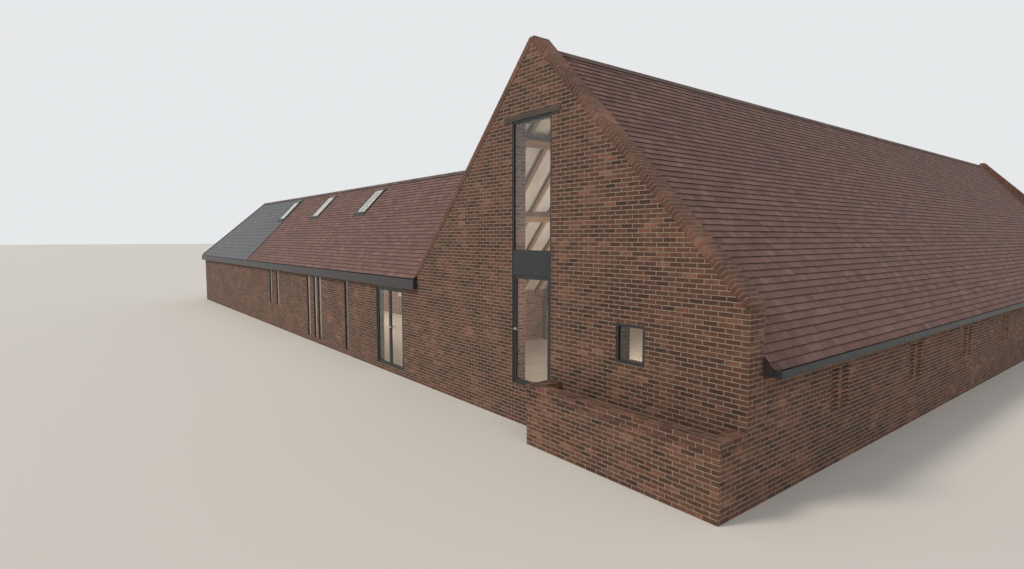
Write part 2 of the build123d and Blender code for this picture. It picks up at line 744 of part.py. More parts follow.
def truss_brace(y0, y1):
    """A raking strut from the tie's middle up to the principal, just below the collar."""
    z0 = tie_z + tie_d
    x0 = brace_d
    z1 = collar_z - brace_d
    x1 = truss_x(z1)
    length = hypot(x1 - x0, z1 - z0)
    ux, uz = (x1 - x0) / length, (z1 - z0) / length
    half = brace_d / 2
    reach = 2 * brace_d
    a = (x0 - ux * reach, z0 - uz * reach)
    b = (x1 + ux * reach, z1 + uz * reach)
    strip = profile_y([(a[0] - uz * half, a[1] + ux * half), (a[0] + uz * half, a[1] - ux * half),
                       (b[0] + uz * half, b[1] - ux * half), (b[0] - uz * half, b[1] + ux * half)], y0, y1)
    room = profile_y([(0, z0), (truss_x(z0), z0), (truss_x(collar_z), collar_z), (0, collar_z)], y0, y1)
    return strip & room


def purlins():
    """Two purlins under the rafters of each slope and a ridge beam, between the gables."""
    pieces = []
    across = purlin_w * cos(roof_angle)
    in_x, in_z = purlin_d * sin(roof_angle), purlin_d * cos(roof_angle)
    for share in purlin_at:
        x = inner_x * (1 - share)
        top, low = rafter_z(x), rafter_z(x + across)
        points = [(x, top), (x + across, low), (x + across - in_x, low - in_z), (x - in_x, top - in_z)]
        purlin = profile_y(points, front_in, rear_in)
        pieces += [purlin, mirrored(purlin)]
    half = purlin_w / 2
    ridge = profile_y([(0, ceiling_z(0)), (half, ceiling_z(half)), (half, purlin_z(half)), (0, purlin_z(0)),
                       (-half, purlin_z(half)), (-half, ceiling_z(half))], front_in, rear_in)
    save("purlins", *pieces, ridge)


def rafters():
    """Common rafters that show below the plaster, from the ridge beam to the side walls."""
    pieces = []
    top_x = purlin_w / 2
    points = [(top_x, ceiling_z(top_x)), (inner_x, ceiling_z(inner_x)), (inner_x, rafter_z(inner_x)),
              (top_x, rafter_z(top_x))]
    y = rafter_first_y
    while y + rafter_w < rear_in:
        rafter = profile_y(points, y - rafter_w / 2, y + rafter_w / 2)
        pieces += [rafter, mirrored(rafter)]
        y += rafter_pitch
    save("rafters", *pieces)


# Gutters and planter

def gutter(y0, y1):
    """A box gutter on the right eaves."""
    top = eaves_z - gutter_drop
    return trough(roof_edge_x, roof_edge_x + gutter_w, y0, y1, top - gutter_h, top)


def gutters():
    right = gutter(front_in, rear_in)
    left = mirrored(gutter(wing_depth + wing_eaves_out, rear_in))
    front, rear, end = wing_gutters()
    save("eaves_gutters", right, left, front, rear)
    save("wing_end_gutter", end)


def planter():
    """A low brick planter against the gable, right of the doorway."""
    out = planter_rim_out
    walls = block(planter_x0, half_w, -planter_depth, 0, 0, planter_z)
    rim = block(planter_x0 - out, half_w + out, -planter_depth - out, 0, planter_z - planter_rim_h, planter_z)
    inner = block(planter_x0 + planter_t, half_w - planter_t, -planter_depth + planter_t, 1, -1, planter_z + 1)
    save("planter", walls.fuse(rim) - inner)


os.makedirs("parts", exist_ok=True)
front_gable()
rear_gable()
copings()
side_walls()
barn_floor()
door_bases()
barn_roof()
ridge_caps()
roof_lights = wing_roof()
lead_caps()
wing_walls()
windows(roof_lights)
doors()
trusses()
purlins()
rafters()
gutters()
planter()
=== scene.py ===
import math

import bpy
import numpy as np
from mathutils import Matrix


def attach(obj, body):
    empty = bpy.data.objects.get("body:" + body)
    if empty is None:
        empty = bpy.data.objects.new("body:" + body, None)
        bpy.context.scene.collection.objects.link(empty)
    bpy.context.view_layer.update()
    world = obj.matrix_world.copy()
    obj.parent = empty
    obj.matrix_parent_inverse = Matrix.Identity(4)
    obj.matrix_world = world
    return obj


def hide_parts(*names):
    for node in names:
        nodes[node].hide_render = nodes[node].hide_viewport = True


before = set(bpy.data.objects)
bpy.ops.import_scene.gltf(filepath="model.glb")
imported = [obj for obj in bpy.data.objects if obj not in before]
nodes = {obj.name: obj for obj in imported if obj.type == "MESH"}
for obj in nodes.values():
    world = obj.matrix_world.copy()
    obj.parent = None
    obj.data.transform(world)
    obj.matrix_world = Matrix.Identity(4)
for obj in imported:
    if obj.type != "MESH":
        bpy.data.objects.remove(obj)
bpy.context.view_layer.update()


# The front gable: one and a half bricks thick, of handmade clay bricks 212 x 56 mm in stretcher bond, laid in
# pale lime mortar. Each brick's face stands a few millimetres proud of the joints, which are 13 mm wide.

brick_length = 0.225
brick_course = 0.069
brick_joint = 0.013
brick_bond = (brick_length, brick_course, brick_joint)
brick_phase = 0.0775
brick_arris = 0.003
least_cut = 0.018
corner_past = 0.004
gable_half = 4.24
gable_wall = 0.34
gable_top = 6.9515
gable_fall = 1.03774
slot = (-0.57, 0.53, 0.75, 5.658)
slot_lintel = (-0.79, 0.75, 5.658, 5.758)
small_window = (2.035, 2.595, 1.587, 2.208)
wing_head = 2.25


def linear(code):
    """Turns an sRGB hex colour into linear light: under 0.04045 divided by 12.92, over it to the power 2.4."""
    channels = np.array([int(code[i:i + 2], 16) for i in (1, 3, 5)]) / 255
    light = np.where(channels <= 0.04045, channels / 12.92, ((channels + 0.055) / 1.055) ** 2.4)
    return (*light.tolist(), 1.0)


def feed(node, inputs):
    """Sets or links a node's inputs by name or number. A node stands for its output in use, a hex code for light."""
    for key, value in inputs.items():
        if isinstance(value, bpy.types.Node):
            value = next(socket for socket in value.outputs if socket.enabled)
        elif isinstance(value, str):
            value = linear(value)
        if isinstance(value, bpy.types.NodeSocket):
            node.id_data.links.new(value, node.inputs[key])
        else:
            node.inputs[key].default_value = value


def add(tree, kind, inputs=None, stops=(), **settings):
    """Adds a node, sets its properties and colour stops, and feeds its inputs."""
    made = tree.nodes.new("ShaderNode" + kind)
    for key, value in settings.items():
        setattr(made, key, value)
    feed(made, inputs or {})
    for i, (place, code) in enumerate(stops):
        if i >= len(made.color_ramp.elements):
            made.color_ramp.elements.new(place)
        made.color_ramp.elements[i].position = place
        made.color_ramp.elements[i].color = linear(code)
    return made


def new_finish(name, *labels):
    """Starts a material: gives it back with its tree, its shader, its Object coordinates and the marks it reads."""
    finish = bpy.data.materials.new(name)
    finish.use_nodes = True
    tree = finish.node_tree
    marks = [add(tree, "Attribute", attribute_name=label).outputs["Fac"] for label in labels]
    return finish, tree, tree.nodes["Principled BSDF"], add(tree, "TexCoord").outputs["Object"], *marks


def coat(shader, colour, roughness, relief, strength, depth):
    """Gives a surface its colour, its roughness, and a relief with its strength and its depth in metres."""
    bump = add(shader.id_data, "Bump", {"Height": relief, "Strength": strength, "Distance": depth})
    feed(shader, {"Base Color": colour, "Roughness": roughness, "Normal": bump})


def dress(finish, *names):
    """Gives CAD nodes their finish."""
    for name in names:
        for holder in nodes[name].material_slots:
            holder.material = finish


def bond(u0, u1, v0, v1, length, course, joint, phase=0.0):
    """Cells of half-bond courses inside given limits.

    Course k lies between k and k + 1 times its height. Its joints fall on whole lengths where k is odd and half
    a length along where k is even. Half the joint comes off each side of a cell before the limits cut it.
    """
    rows = np.arange(math.floor(v0 / course), math.ceil(v1 / course))
    columns = np.arange(math.floor((u0 - phase) / length) - 1, math.ceil((u1 - phase) / length) + 1)
    k, n = np.meshgrid(rows, columns, indexing="ij")
    start = (n + np.where(k % 2 == 0, 0.5, 0.0)) * length + phase
    half = joint / 2
    cells = np.stack([start + half, start + length - half, k * course + half, (k + 1) * course - half], axis=-1)
    return within(cells.reshape(-1, 4), u0, u1, v0, v1)


def worth_laying(cells):
    """Leaves out slivers thinner than the least piece that is cut."""
    return cells[(cells[:, 1] - cells[:, 0] > least_cut) & (cells[:, 3] - cells[:, 2] > least_cut)]


def within(cells, u0, u1, v0, v1):
    """Cuts cells down to a rectangle, without the slivers."""
    return worth_laying(np.clip(cells, (u0, u0, v0, v0), (u1, u1, v1, v1)))


def cut(cells, *openings):
    """Takes openings out of the cells: what is left of a cell beside one, under it and over it stays."""
    for u0, u1, v0, v1 in openings:
        hit = (cells[:, 0] < u1) & (cells[:, 1] > u0) & (cells[:, 2] < v1) & (cells[:, 3] > v0)
        around = ((-np.inf, u0, -np.inf, np.inf), (u1, np.inf, -np.inf, np.inf), (u0, u1, -np.inf, v0),
                  (u0, u1, v1, np.inf))
        cells = np.concatenate([cells[~hit], *(within(cells[hit], *limits) for limits in around)])
    return cells


def outline(cells):
    """The four corners of each cell, anticlockwise from its lower left."""
    return cells[:, [[0, 2], [1, 2], [1, 3], [0, 3]]]


def trim(corners, start, slope, side=1):
    """Cuts cells off at a raking line: side times u stays under start + slope times v.

    The sheet is turned so that the line leans to the left going up, then a cell whose top right corner is past
    it has its edge moved to the line, and one whose top left corner is past it becomes a three-cornered piece.
    """
    flip = (side, -1 if slope > 0 else 1)
    order = np.array([1, 0, 3, 2] if side < 0 else [0, 1, 2, 3])
    order = 3 - order if slope > 0 else order
    fall = -abs(slope)
    turned = (corners * flip)[:, order]
    limit = start + fall * turned[..., 1]
    keep = turned[:, 0, 0] < limit[:, 0] - least_cut
    turned, limit = turned[keep], limit[keep]
    turned[:, 1, 0] = np.minimum(turned[:, 1, 0], limit[:, 1])
    past = turned[:, 3, 0] > limit[:, 3] - 2 * brick_arris
    tip = (turned[:, 3, 0] + 2 * brick_arris - start) / fall
    turned[:, 2, 0] = np.where(past, turned[:, 3, 0] + 2 * brick_arris, np.minimum(turned[:, 2, 0], limit[:, 2]))
    turned[:, 2, 1] = np.where(past, tip, turned[:, 2, 1])
    turned[:, 3, 1] = np.where(past, tip, turned[:, 3, 1])
    return turned[:, np.argsort(order)] * flip


def trim_both(corners, start, slope):
    """Cuts cells off at two raking lines that mirror each other."""
    return trim(trim(corners, start, slope), start, slope, side=-1)


def drawn_in(corners, arris):
    """Moves the corners of each cell in towards its middle by the arris, both ways."""
    return corners - arris * np.sign(corners - corners.mean(axis=1, keepdims=True))


def placed(flat, stand, origin, along, up):
    """Points over a plane: the origin plus u times along plus v times up plus stand times along crossed with up."""
    origin, along, up = (np.array(vector, float) for vector in (origin, along, up))
    return origin + flat[..., :1] * along + flat[..., 1:] * up + stand * np.cross(along, up)


def rings(corners, stand, arris, *plane):
    """Places units on a plane: a ring of four corners on it, and one drawn in, whose corners stand off it."""
    return np.stack([placed(corners, 0.0, *plane), placed(drawn_in(corners, arris), stand[..., None], *plane)],
                    axis=1)


def piece_of(name, points, faces, finish):
    """Puts points and faces into a mesh of their own at the origin, with its finish and slot."""
    mesh = bpy.data.meshes.new(name)
    mesh.from_pydata(points.reshape(-1, 3).tolist(), [], faces.tolist())
    mesh.materials.append(finish)
    piece = bpy.data.objects.new(name, mesh)
    bpy.context.scene.collection.objects.link(piece)
    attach(piece, "building")
    return piece


def mark(piece, label, values):
    """Stores one value for each point of a piece, for its material to read."""
    attribute = piece.data.attributes.new(label, "FLOAT", "POINT")
    attribute.data.foreach_set("value", values.astype(np.float32))


def lay(name, pairs, tones, finish, back_edge=0.0):
    """One mesh of many like units: unit k has the points 8k to 8k + 7, a front face and four sides.

    Each point carries the unit's tone from 0 to 1, and edge, which is 1 at the front ring and at the back a lower
    value, where the materials paint the sides darker as painted shade, on bricks mixed with a mortar colour.
    """
    unit = np.array([[4, 5, 6, 7], [0, 1, 5, 4], [1, 2, 6, 5], [2, 3, 7, 6], [3, 0, 4, 7]])
    faces = (unit + 8 * np.arange(len(pairs))[:, None, None]).reshape(-1, 4)
    piece = piece_of(name, pairs, faces, finish)
    mark(piece, "tone", np.repeat(tones, 8))
    mark(piece, "edge", np.tile([back_edge] * 4 + [1.0] * 4, len(pairs)))
    return piece


def brickwork(name, corners, origin, along, seed, up=(0, 0, 1), proud=0.0):
    """Lays bricks on a wall face, each standing 2 to 4 mm off it, with corners that wander by a millimetre."""
    rng = np.random.default_rng(seed)
    stand = proud + rng.uniform(0.002, 0.004, (len(corners), 1))
    wandering = corners + rng.normal(0.0, 0.0009, corners.shape)
    tones = rng.beta(3.0, 3.0, len(corners))
    return lay(name, rings(wandering, stand, brick_arris, origin, along, up), tones, brick_clay)


def unit_colour(tree, tone, clouds, swing, stops):
    """Swings a unit's own tone by clouds whose mean is a half, and takes its colour from the stops."""
    swung = add(tree, "Math", {0: clouds, 1: swing, 2: -swing / 2}, operation="MULTIPLY_ADD")
    mixed_tone = add(tree, "Math", {0: tone, 1: swung}, operation="ADD", use_clamp=True)
    return add(tree, "ValToRGB", {"Fac": mixed_tone}, stops=stops)


# Handmade clay brick, sand-faced and fired unevenly, so each brick has its own brown, red or near-black tone.
# The darker ones lie in groups half a metre across. Dull, with clouds about 70 mm across and a sandy grain.
brick_clay, tree, shader, place, tone, edge = new_finish("handmade_clay_brick", "tone", "edge")
batch = add(tree, "TexNoise", {"Vector": place, "Scale": 1.6, "Detail": 3.0, "Roughness": 0.6})
darker = add(tree, "Math", {0: batch, 1: 1.4, 2: -0.72}, operation="MULTIPLY_ADD")
own_tone = add(tree, "Math", {0: tone, 1: darker}, operation="ADD")
clouds = add(tree, "TexNoise", {"Vector": place, "Scale": 1 / 0.07, "Detail": 4.0, "Roughness": 0.6})
clay = unit_colour(tree, own_tone, clouds, 0.5, [(0.0, "#3a2720"), (0.2, "#4b3128"), (0.45, "#5c3b2f"),
                                                 (0.68, "#6a4536"), (0.86, "#7a5141"), (1.0, "#8b6250")])
weather = add(tree, "TexNoise", {"Vector": place, "Scale": 0.7, "Detail": 6.0, "Roughness": 0.65})
shade = add(tree, "ValToRGB", {"Fac": weather}, stops=[(0.32, "#c9c4c0"), (0.55, "#ffffff"), (0.72, "#e6dfd8")])
weathered = add(tree, "Mix", {0: 1.0, 6: clay, 7: shade}, data_type="RGBA", blend_type="MULTIPLY")
sand = add(tree, "TexNoise", {"Vector": place, "Scale": 1 / 0.006, "Detail": 3.0})
# The sides of each brick take a dark mortar colour, from the back forward: mortar and painted shade in the joints.
coat(shader, add(tree, "Mix", {0: edge, 6: "#75654f", 7: weathered}, data_type="RGBA"),
     add(tree, "Math", {0: sand, 1: 0.15, 2: 0.8}, operation="MULTIPLY_ADD"), sand, 0.5, 0.002)

# Brickwork seen whole, bricks and pale lime mortar together, on the same bond as the laid bricks: for the inner
# faces and reveals. Walls across the barn are measured along X, walls down its length along Y. Wall tops show
# the stained mortar that their top course is bedded in.
brick_wall, tree, shader, place = new_finish("brick_in_lime_mortar")
axes = add(tree, "SeparateXYZ", {"Vector": place})
facing = add(tree, "SeparateXYZ", {"Vector": add(tree, "NewGeometry").outputs["True Normal"]})
is_side, is_top = (add(tree, "Math", {0: add(tree, "Math", {0: facing.outputs[axis]}, operation="ABSOLUTE"), 1: 0.6},
                       operation="GREATER_THAN") for axis in "XZ")
from_phase = add(tree, "Math", {0: axes.outputs["X"], 1: brick_phase}, operation="SUBTRACT")
run = add(tree, "Mix", {0: is_side, 2: from_phase, 3: axes.outputs["Y"]})
rise = add(tree, "Mix", {0: is_top, 2: axes.outputs["Z"], 3: axes.outputs["Y"]})
laid = add(tree, "TexBrick", {"Vector": add(tree, "CombineXYZ", {"X": run, "Y": rise}), "Color1": "#583828",
                              "Color2": "#93614a", "Mortar": "#9f917f", "Scale": 1.0,
                              "Mortar Size": brick_joint / 2, "Mortar Smooth": 0.2, "Brick Width": brick_length,
                              "Row Height": brick_course})
coated = add(tree, "Mix", {0: is_top, 6: laid, 7: "#7c6b5c"}, data_type="RGBA")
clouds = add(tree, "TexNoise", {"Vector": place, "Scale": 1 / 0.07, "Detail": 4.0, "Roughness": 0.6})
dapple = add(tree, "ValToRGB", {"Fac": clouds}, stops=[(0.3, "#cfc8c0"), (0.7, "#ffffff")])
sand = add(tree, "TexNoise", {"Vector": place, "Scale": 1 / 0.006, "Detail": 3.0})
bricks_up = add(tree, "Math", {0: laid.outputs["Fac"], 1: -1.0, 2: 1.0}, operation="MULTIPLY_ADD")
relief = add(tree, "Math", {0: sand, 1: 0.25, 2: bricks_up}, operation="MULTIPLY_ADD")
coat(shader, add(tree, "Mix", {0: 1.0, 6: coated, 7: dapple}, data_type="RGBA", blend_type="MULTIPLY"), 0.9, relief,
     0.8, 0.004)
dress(brick_wall, "gable_left", "gable_right", "gable_head", "door_bases", "rear_gable", "side_wall_bases",
      "side_wall_piers", "side_wall_heads", "vent_lattices", "planter", "wing_front_wall", "wing_rear_wall",
      "wing_end_wall")

# Up to the wing's head the courses run on into its front wall, and a brick belongs to the wall that its middle
# lies in. The rakes cut the others off.
rake = (gable_top / gable_fall, -1 / gable_fall)
shared_head = wing_head - brick_course
field = bond(-gable_half - brick_length, gable_half + corner_past, 0, gable_top, *brick_bond, brick_phase)
field = field[(field[:, :2].mean(axis=1) > -gable_half) | (field[:, 2] >= shared_head)]
higher = field[:, 2] >= shared_head
field[higher, 0] = np.maximum(field[higher, 0], -gable_half - corner_past)
field = cut(worth_laying(field), slot, slot_lintel, small_window)
brickwork("gable_bricks", trim_both(outline(field), *rake), (0, 0, 0), (1, 0, 0), 11)


# The rear gable: the same wall with a small window each side, its bricks laid from the same corners.

gable_back = 28.2
field = bond(-gable_half - corner_past, gable_half + corner_past, 0, gable_top, *brick_bond, -brick_phase)
field = cut(field, small_window, (-small_window[1], -small_window[0], *small_window[2:]))
brickwork("rear_gable_bricks", trim_both(outline(field), *rake), (0, gable_back, 0), (-1, 0, 0), 12)


# The gables' returns: each gable stands up past the roof, so a strip of its inner face shows above the tiles.

barn_ridge = 6.9
barn_fall = 1.15561
return_sunk = 0.02
for name, y, way, seed in (("gable_return_bricks", gable_wall, -1, 13),
                           ("rear_return_bricks", gable_back - gable_wall, 1, 14)):
    field = bond(-gable_half, gable_half, 0, gable_top, *brick_bond, way * brick_phase)
    farthest = np.maximum(np.abs(field[:, 0]), np.abs(field[:, 1]))
    field = field[field[:, 3] > barn_ridge - barn_fall * farthest - return_sunk]
    brickwork(name, trim_both(outline(field), *rake), (0, y, 0), (way, 0, 0), seed)


# The barn's side walls: the same brickwork under the eaves, with groups of open ventilation slots, one to a
# course in two columns. At both ends the gables' own sides rise to the copings.

side_top = 1.7251
side_rise = 2.71
wing_back_y = 5.3
vent_start = 2.395
vent_pitch = 3.3
vent_groups = 8
vent_width = 0.61
vent_low = 0.828
vent_high = 1.554


def mirrored(cells):
    """Turns cells end for end along the wall."""
    return cells[:, [1, 0, 2, 3]] * (-1, -1, 1, 1)


for name, x, way, first, seed in (("right_wall_bricks", gable_half, 1, 0, 15),
                                  ("left_wall_bricks", -gable_half, -1, 1, 16)):
    near = -corner_past if way > 0 else wing_back_y
    u0, u1 = sorted((way * near, way * (gable_back + corner_past)))
    eaves = sorted((way * gable_wall, way * (gable_back - gable_wall)))
    vents = [(*sorted((way * start, way * (start + vent_width))), vent_low, vent_high)
             for start in (vent_start + k * vent_pitch for k in range(first, vent_groups))]
    field = cut(bond(u0, u1, 0, side_rise, *brick_bond), (*eaves, side_top, side_rise + 1), *vents)
    brickwork(name, outline(field), (x, 0, 0), (0, way, 0), seed)
field = mirrored(bond(0, gable_wall, wing_head, side_rise, *brick_bond))
brickwork("left_corner_bricks", outline(field), (-gable_half, 0, 0), (0, -1, 0), 17)


# The wing's walls: one brick thick and lower, in the same bond, with a pair of glazed doors, narrow slits and
# three windows at the back. Their heads tuck up behind the deep gutters.

wing_end = 28.95
wing_sill = 0.15
wing_door = (-6.517, -4.967, wing_sill, wing_head)
tall_slits = (-8.575, -10.81, -11.23, -11.865)
short_slits = (-15.39, -16.29)
slit_half = 0.14
slit_sill = 0.897
rear_windows = (9.0, 14.5, 20.0)
rear_half = 0.6
rear_sill = 0.966
past_head = wing_head + 1


def holes(middles, half, low, high):
    """Openings of one size, round the given middles along the wall."""
    return [(middle - half, middle + half, low, high) for middle in middles]


field = bond(-wing_end - corner_past, -gable_half + brick_length, 0, wing_head, *brick_bond, brick_phase)
field = field[(field[:, :2].mean(axis=1) <= -gable_half) | (field[:, 2] >= shared_head)]
higher = field[:, 2] >= shared_head
field[higher, 1] = np.minimum(field[higher, 1], -gable_half)
field = cut(worth_laying(field), wing_door, *holes(tall_slits, slit_half, wing_sill, past_head),
            *holes(short_slits, slit_half, slit_sill, past_head))
brickwork("wing_front_bricks", outline(field), (0, 0, 0), (1, 0, 0), 21)
field = cut(bond(gable_half, wing_end + corner_past, 0, wing_head, *brick_bond, -brick_phase),
            *holes(rear_windows, rear_half, rear_sill, past_head))
brickwork("wing_rear_bricks", outline(field), (0, wing_back_y, 0), (-1, 0, 0), 22)
field = bond(-wing_back_y - corner_past, corner_past, 0, wing_head, *brick_bond)
brickwork("wing_end_bricks", outline(field), (-wing_end, 0, 0), (0, -1, 0), 23)


# The raised planting bed at the foot of the gable: walls one brick thick, whose top two courses stand 10 mm out.
# The last course is seen from above as two rows of stretchers, the front row with the face's own joints.

bed = (0.6, 4.24, -0.6, 0.0)
bed_top = 1.035
bed_wall = 0.215
bed_rim = 0.01
bed_rim_low = 0.897
bed_rim_foot = 0.934
bed_brick_out = 0.009
bed_row = (bed_wall + bed_rim + brick_joint) / 2
bed_row_bond = (brick_length, bed_row, brick_joint)
bed_sides = (("front", (0, bed[2], 0), (1, 0, 0)), ("right", (bed[1], 0, 0), (0, 1, 0)),
             ("left", (bed[0], 0, 0), (0, -1, 0)))
for name, low, high, proud, seed in (("bed", 0, bed_rim_low, 0.0, 31),
                                     ("bed_rim", bed_rim_low, bed_top, bed_brick_out, 34)):
    past = proud + corner_past
    front = bond(bed[0] - past, bed[1] + past, low, high, *brick_bond, brick_phase)
    right = bond(bed[2] - past, 0, low, high, *brick_bond)
    for field in (front, right):
        field[:, 3] += (field[:, 3] > bed_top - brick_joint) * brick_joint / 2
    for k, ((side, origin, along), field) in enumerate(zip(bed_sides, (front, right, mirrored(right)))):
        brickwork(f"{name}_{side}_bricks", outline(field), origin, along, seed + k, proud=proud)

# Mortar fills the joints of the lower projecting course, where it hangs under the rim's foot.
spans = ((bed[0] - bed_brick_out, bed[1] + bed_brick_out), (bed[2] - bed_brick_out, 0), (0, bed_brick_out - bed[2]))
for (side, origin, along), (u0, u1) in zip(bed_sides, spans):
    strip = outline(np.array([[u0, u1, bed_rim_low + brick_joint / 2, bed_rim_foot]]))
    lay(f"bed_rim_{side}_joints", rings(strip, np.full((1, 4), bed_brick_out), 0.0, origin, along, (0, 0, 1)),
        [0.5], brick_wall)

outer = bed_rim + brick_joint / 2
front = bond(bed[0] - bed_rim - brick_arris, bed[1] + bed_rim + brick_arris, 0, 2 * bed_row, *bed_row_bond,
             brick_phase)
brickwork("bed_top_front_bricks", outline(front), (0, bed[2] - outer, bed_top), (1, 0, 0), 51, up=(0, 1, 0))
right = bond(bed[2] + bed_wall + brick_joint, 0, 0, 2 * bed_row, *bed_row_bond)
brickwork("bed_top_right_bricks", outline(right), (bed[1] + outer, 0, bed_top), (0, 1, 0), 52, up=(-1, 0, 0))
brickwork("bed_top_left_bricks", outline(mirrored(right)), (bed[0] - outer, 0, bed_top), (0, -1, 0), 53, up=(1, 0, 0))


# Copings: bricks set on edge across each gable's rakes, a whole brick and a half to the wall's thickness, with
# the half brick on alternate sides. They are bedded in mortar, and the lowest close on a cut brick.

coping_angle = math.atan(gable_fall)
coping_cos, coping_sin = math.cos(coping_angle), math.sin(coping_angle)
coping_top = 7.11
coping_thick = 0.11
coping_proud = 0.008
coping_end = 0.06
stand_out = 0.003
half_brick = 0.118
edge_pitch = 0.075


def on_edge(name, cells, seed, *plane):
    """Bricks on edge: each stands from the coping's bed up to 3 mm over its top plane."""
    rng = np.random.default_rng(seed)
    corners = outline(cells)
    back = placed(corners, -coping_thick, *plane)
    front = placed(drawn_in(corners, brick_arris), rng.uniform(0.0, stand_out, (len(corners), 1, 1)), *plane)
    tones = 0.5 + 0.35 * rng.beta(2.0, 2.0, len(corners))
    return lay(name, np.stack([back, front], axis=1), tones, brick_clay, 1.0)


def on_edge_cells(length, even_bands, odd_bands):
    """Cells one brick on edge wide along v. Even bricks lie in the first bands along u, odd ones in the others."""
    count = round(length / edge_pitch)
    low = np.arange(count) * length / count + brick_joint / 2
    high = low + length / count - brick_joint
    low[0], high[-1] = -stand_out, length + stand_out
    return np.concatenate([np.stack([np.full(len(low[k::2]), u0), np.full(len(low[k::2]), u1), low[k::2],
                                     high[k::2]], axis=-1)
                           for k, bands in enumerate((even_bands, odd_bands)) for u0, u1 in bands])


rake_length = (gable_half - coping_end) / coping_cos
foot_z = coping_top - gable_fall * gable_half
kneeler = np.array([[[4.170, 2.634], [4.241, 2.560], [4.241, 2.700], [4.206, 2.668]]])
kneelers = np.concatenate([kneeler, kneeler[:, ::-1] * (-1, 1)])
for name, outer, inner, seed in (("front", 0.0, gable_wall, 41), ("rear", gable_back, gable_back - gable_wall, 43)):
    way = np.sign(inner - outer)
    first, last = outer - way * (coping_proud + stand_out), inner + way * stand_out
    split = way * half_brick
    gap = way * brick_joint
    whole_first = (sorted((first, last - split - gap)), sorted((last - split, last)))
    half_first = (sorted((first, first + split)), sorted((first + split + gap, last)))
    cells = on_edge_cells(rake_length, whole_first, half_first)
    on_edge(name + "_coping_right", cells, seed, (gable_half, 0, foot_z), (0, 1, 0), (-coping_cos, 0, coping_sin))
    on_edge(name + "_coping_left", mirrored(cells), seed + 1, (-gable_half, 0, foot_z), (0, -1, 0),
            (coping_cos, 0, coping_sin))
    brickwork(name + "_kneelers", kneelers, (0, outer - way * coping_proud, 0), (way, 0, 0), seed + 2)
    brickwork(name + "_inner_kneelers", kneelers, (0, inner, 0), (-way, 0, 0), seed + 3)


def clouded(name, scale, detail, gain, stops):
    """Starts a material whose colour drifts between stops in clouds, scale of them to a metre."""
    finish, tree, shader, place = new_finish(name)
    clouds = add(tree, "TexNoise", {"Vector": place, "Scale": scale, "Detail": detail, "Roughness": gain})
    return finish, tree, shader, place, clouds, add(tree, "ValToRGB", {"Fac": clouds}, stops=stops)


# Bricks bedded on edge, seen between the laid ones: mostly the mortar of their joints, stained by rain.
coping_bed, tree, shader, place, clouds, stained = clouded(
    "stained_lime_mortar", 9.0, 6.0, 0.7, [(0.3, "#64544a"), (0.55, "#7c6b5c"), (0.75, "#8f7e6d")])
coat(shader, stained, 0.92, add(tree, "TexNoise", {"Vector": place, "Scale": 1 / 0.005, "Detail": 3.0}), 0.5, 0.002)
dress(coping_bed, "copings")


# The floors: honed limestone slabs 900 x 600 mm, laid on concrete with tight joints.

stone, tree, shader, place = new_finish("honed_limestone")
slabs = add(tree, "TexBrick", {"Vector": place, "Color1": "#bdb2a8", "Color2": "#c5bbb1", "Mortar": "#a3978c",
                               "Scale": 1.0, "Mortar Size": 0.002, "Mortar Smooth": 0.3, "Brick Width": 0.9,
                               "Row Height": 0.6})
veins = add(tree, "TexNoise", {"Vector": place, "Scale": 5.0, "Detail": 8.0, "Roughness": 0.65, "Distortion": 1.2})
cloudy = add(tree, "ValToRGB", {"Fac": veins}, stops=[(0.35, "#ece7e1"), (0.6, "#ffffff")])
feed(shader, {"Base Color": add(tree, "Mix", {0: 1.0, 6: slabs, 7: cloudy}, data_type="RGBA", blend_type="MULTIPLY"),
              "Roughness": add(tree, "Math", {0: veins, 1: 0.25, 2: 0.3}, operation="MULTIPLY_ADD"),
              "Normal": add(tree, "Bump", {"Height": slabs.outputs["Fac"], "Strength": 0.4, "Distance": 0.002},
                            invert=True)})
dress(stone, "barn_floor", "wing_floor")


# The roof timbers: sawn green oak. Wall posts carry principals, joined by a raised tie, a collar and braces,
# and the purlins and common rafters lie on them. The grain runs along each timber.

roof_angle = math.atan(barn_fall)
along_x, along_y, along_z = (1.2, 28.0, 28.0), (28.0, 1.2, 28.0), (28.0, 28.0, 1.2)
fresh_oak = ("#6d4f36", "#8d6b4a", "#ab8961")


def oak_finish(name, stretch, lean=0.0, tones=fresh_oak):
    """Sawn oak whose grain follows one direction: the pattern is squeezed by stretch, per metre on each axis.

    Where the timbers lean, the distance from the ridge line is turned to lie along them first.
    """
    finish, tree, shader, place = new_finish(name)
    if lean:
        axes = add(tree, "SeparateXYZ", {"Vector": place})
        out = add(tree, "Math", {0: axes.outputs["X"]}, operation="ABSOLUTE")
        both = add(tree, "CombineXYZ", {"X": out, "Y": axes.outputs["Y"], "Z": axes.outputs["Z"]})
        place = add(tree, "Mapping", {"Vector": both, "Rotation": (0.0, -lean, 0.0)})
    squeezed = add(tree, "Mapping", {"Vector": place, "Scale": stretch})
    growth = add(tree, "TexNoise", {"Vector": squeezed, "Scale": 1.0, "Detail": 6.0, "Roughness": 0.62,
                                    "Distortion": 0.6})
    wood = add(tree, "ValToRGB", {"Fac": growth}, stops=list(zip((0.3, 0.5, 0.72), tones)))
    fibres = add(tree, "Mapping", {"Vector": squeezed, "Scale": (4.0, 4.0, 4.0)})
    fine = add(tree, "TexNoise", {"Vector": fibres, "Scale": 1.0, "Detail": 4.0})
    streak = add(tree, "ValToRGB", {"Fac": fine}, stops=[(0.38, "#b5a999"), (0.55, "#ffffff")])
    coat(shader, add(tree, "Mix", {0: 0.8, 6: wood, 7: streak}, data_type="RGBA", blend_type="MULTIPLY"), 0.75, fine,
         0.4, 0.002)
    return finish


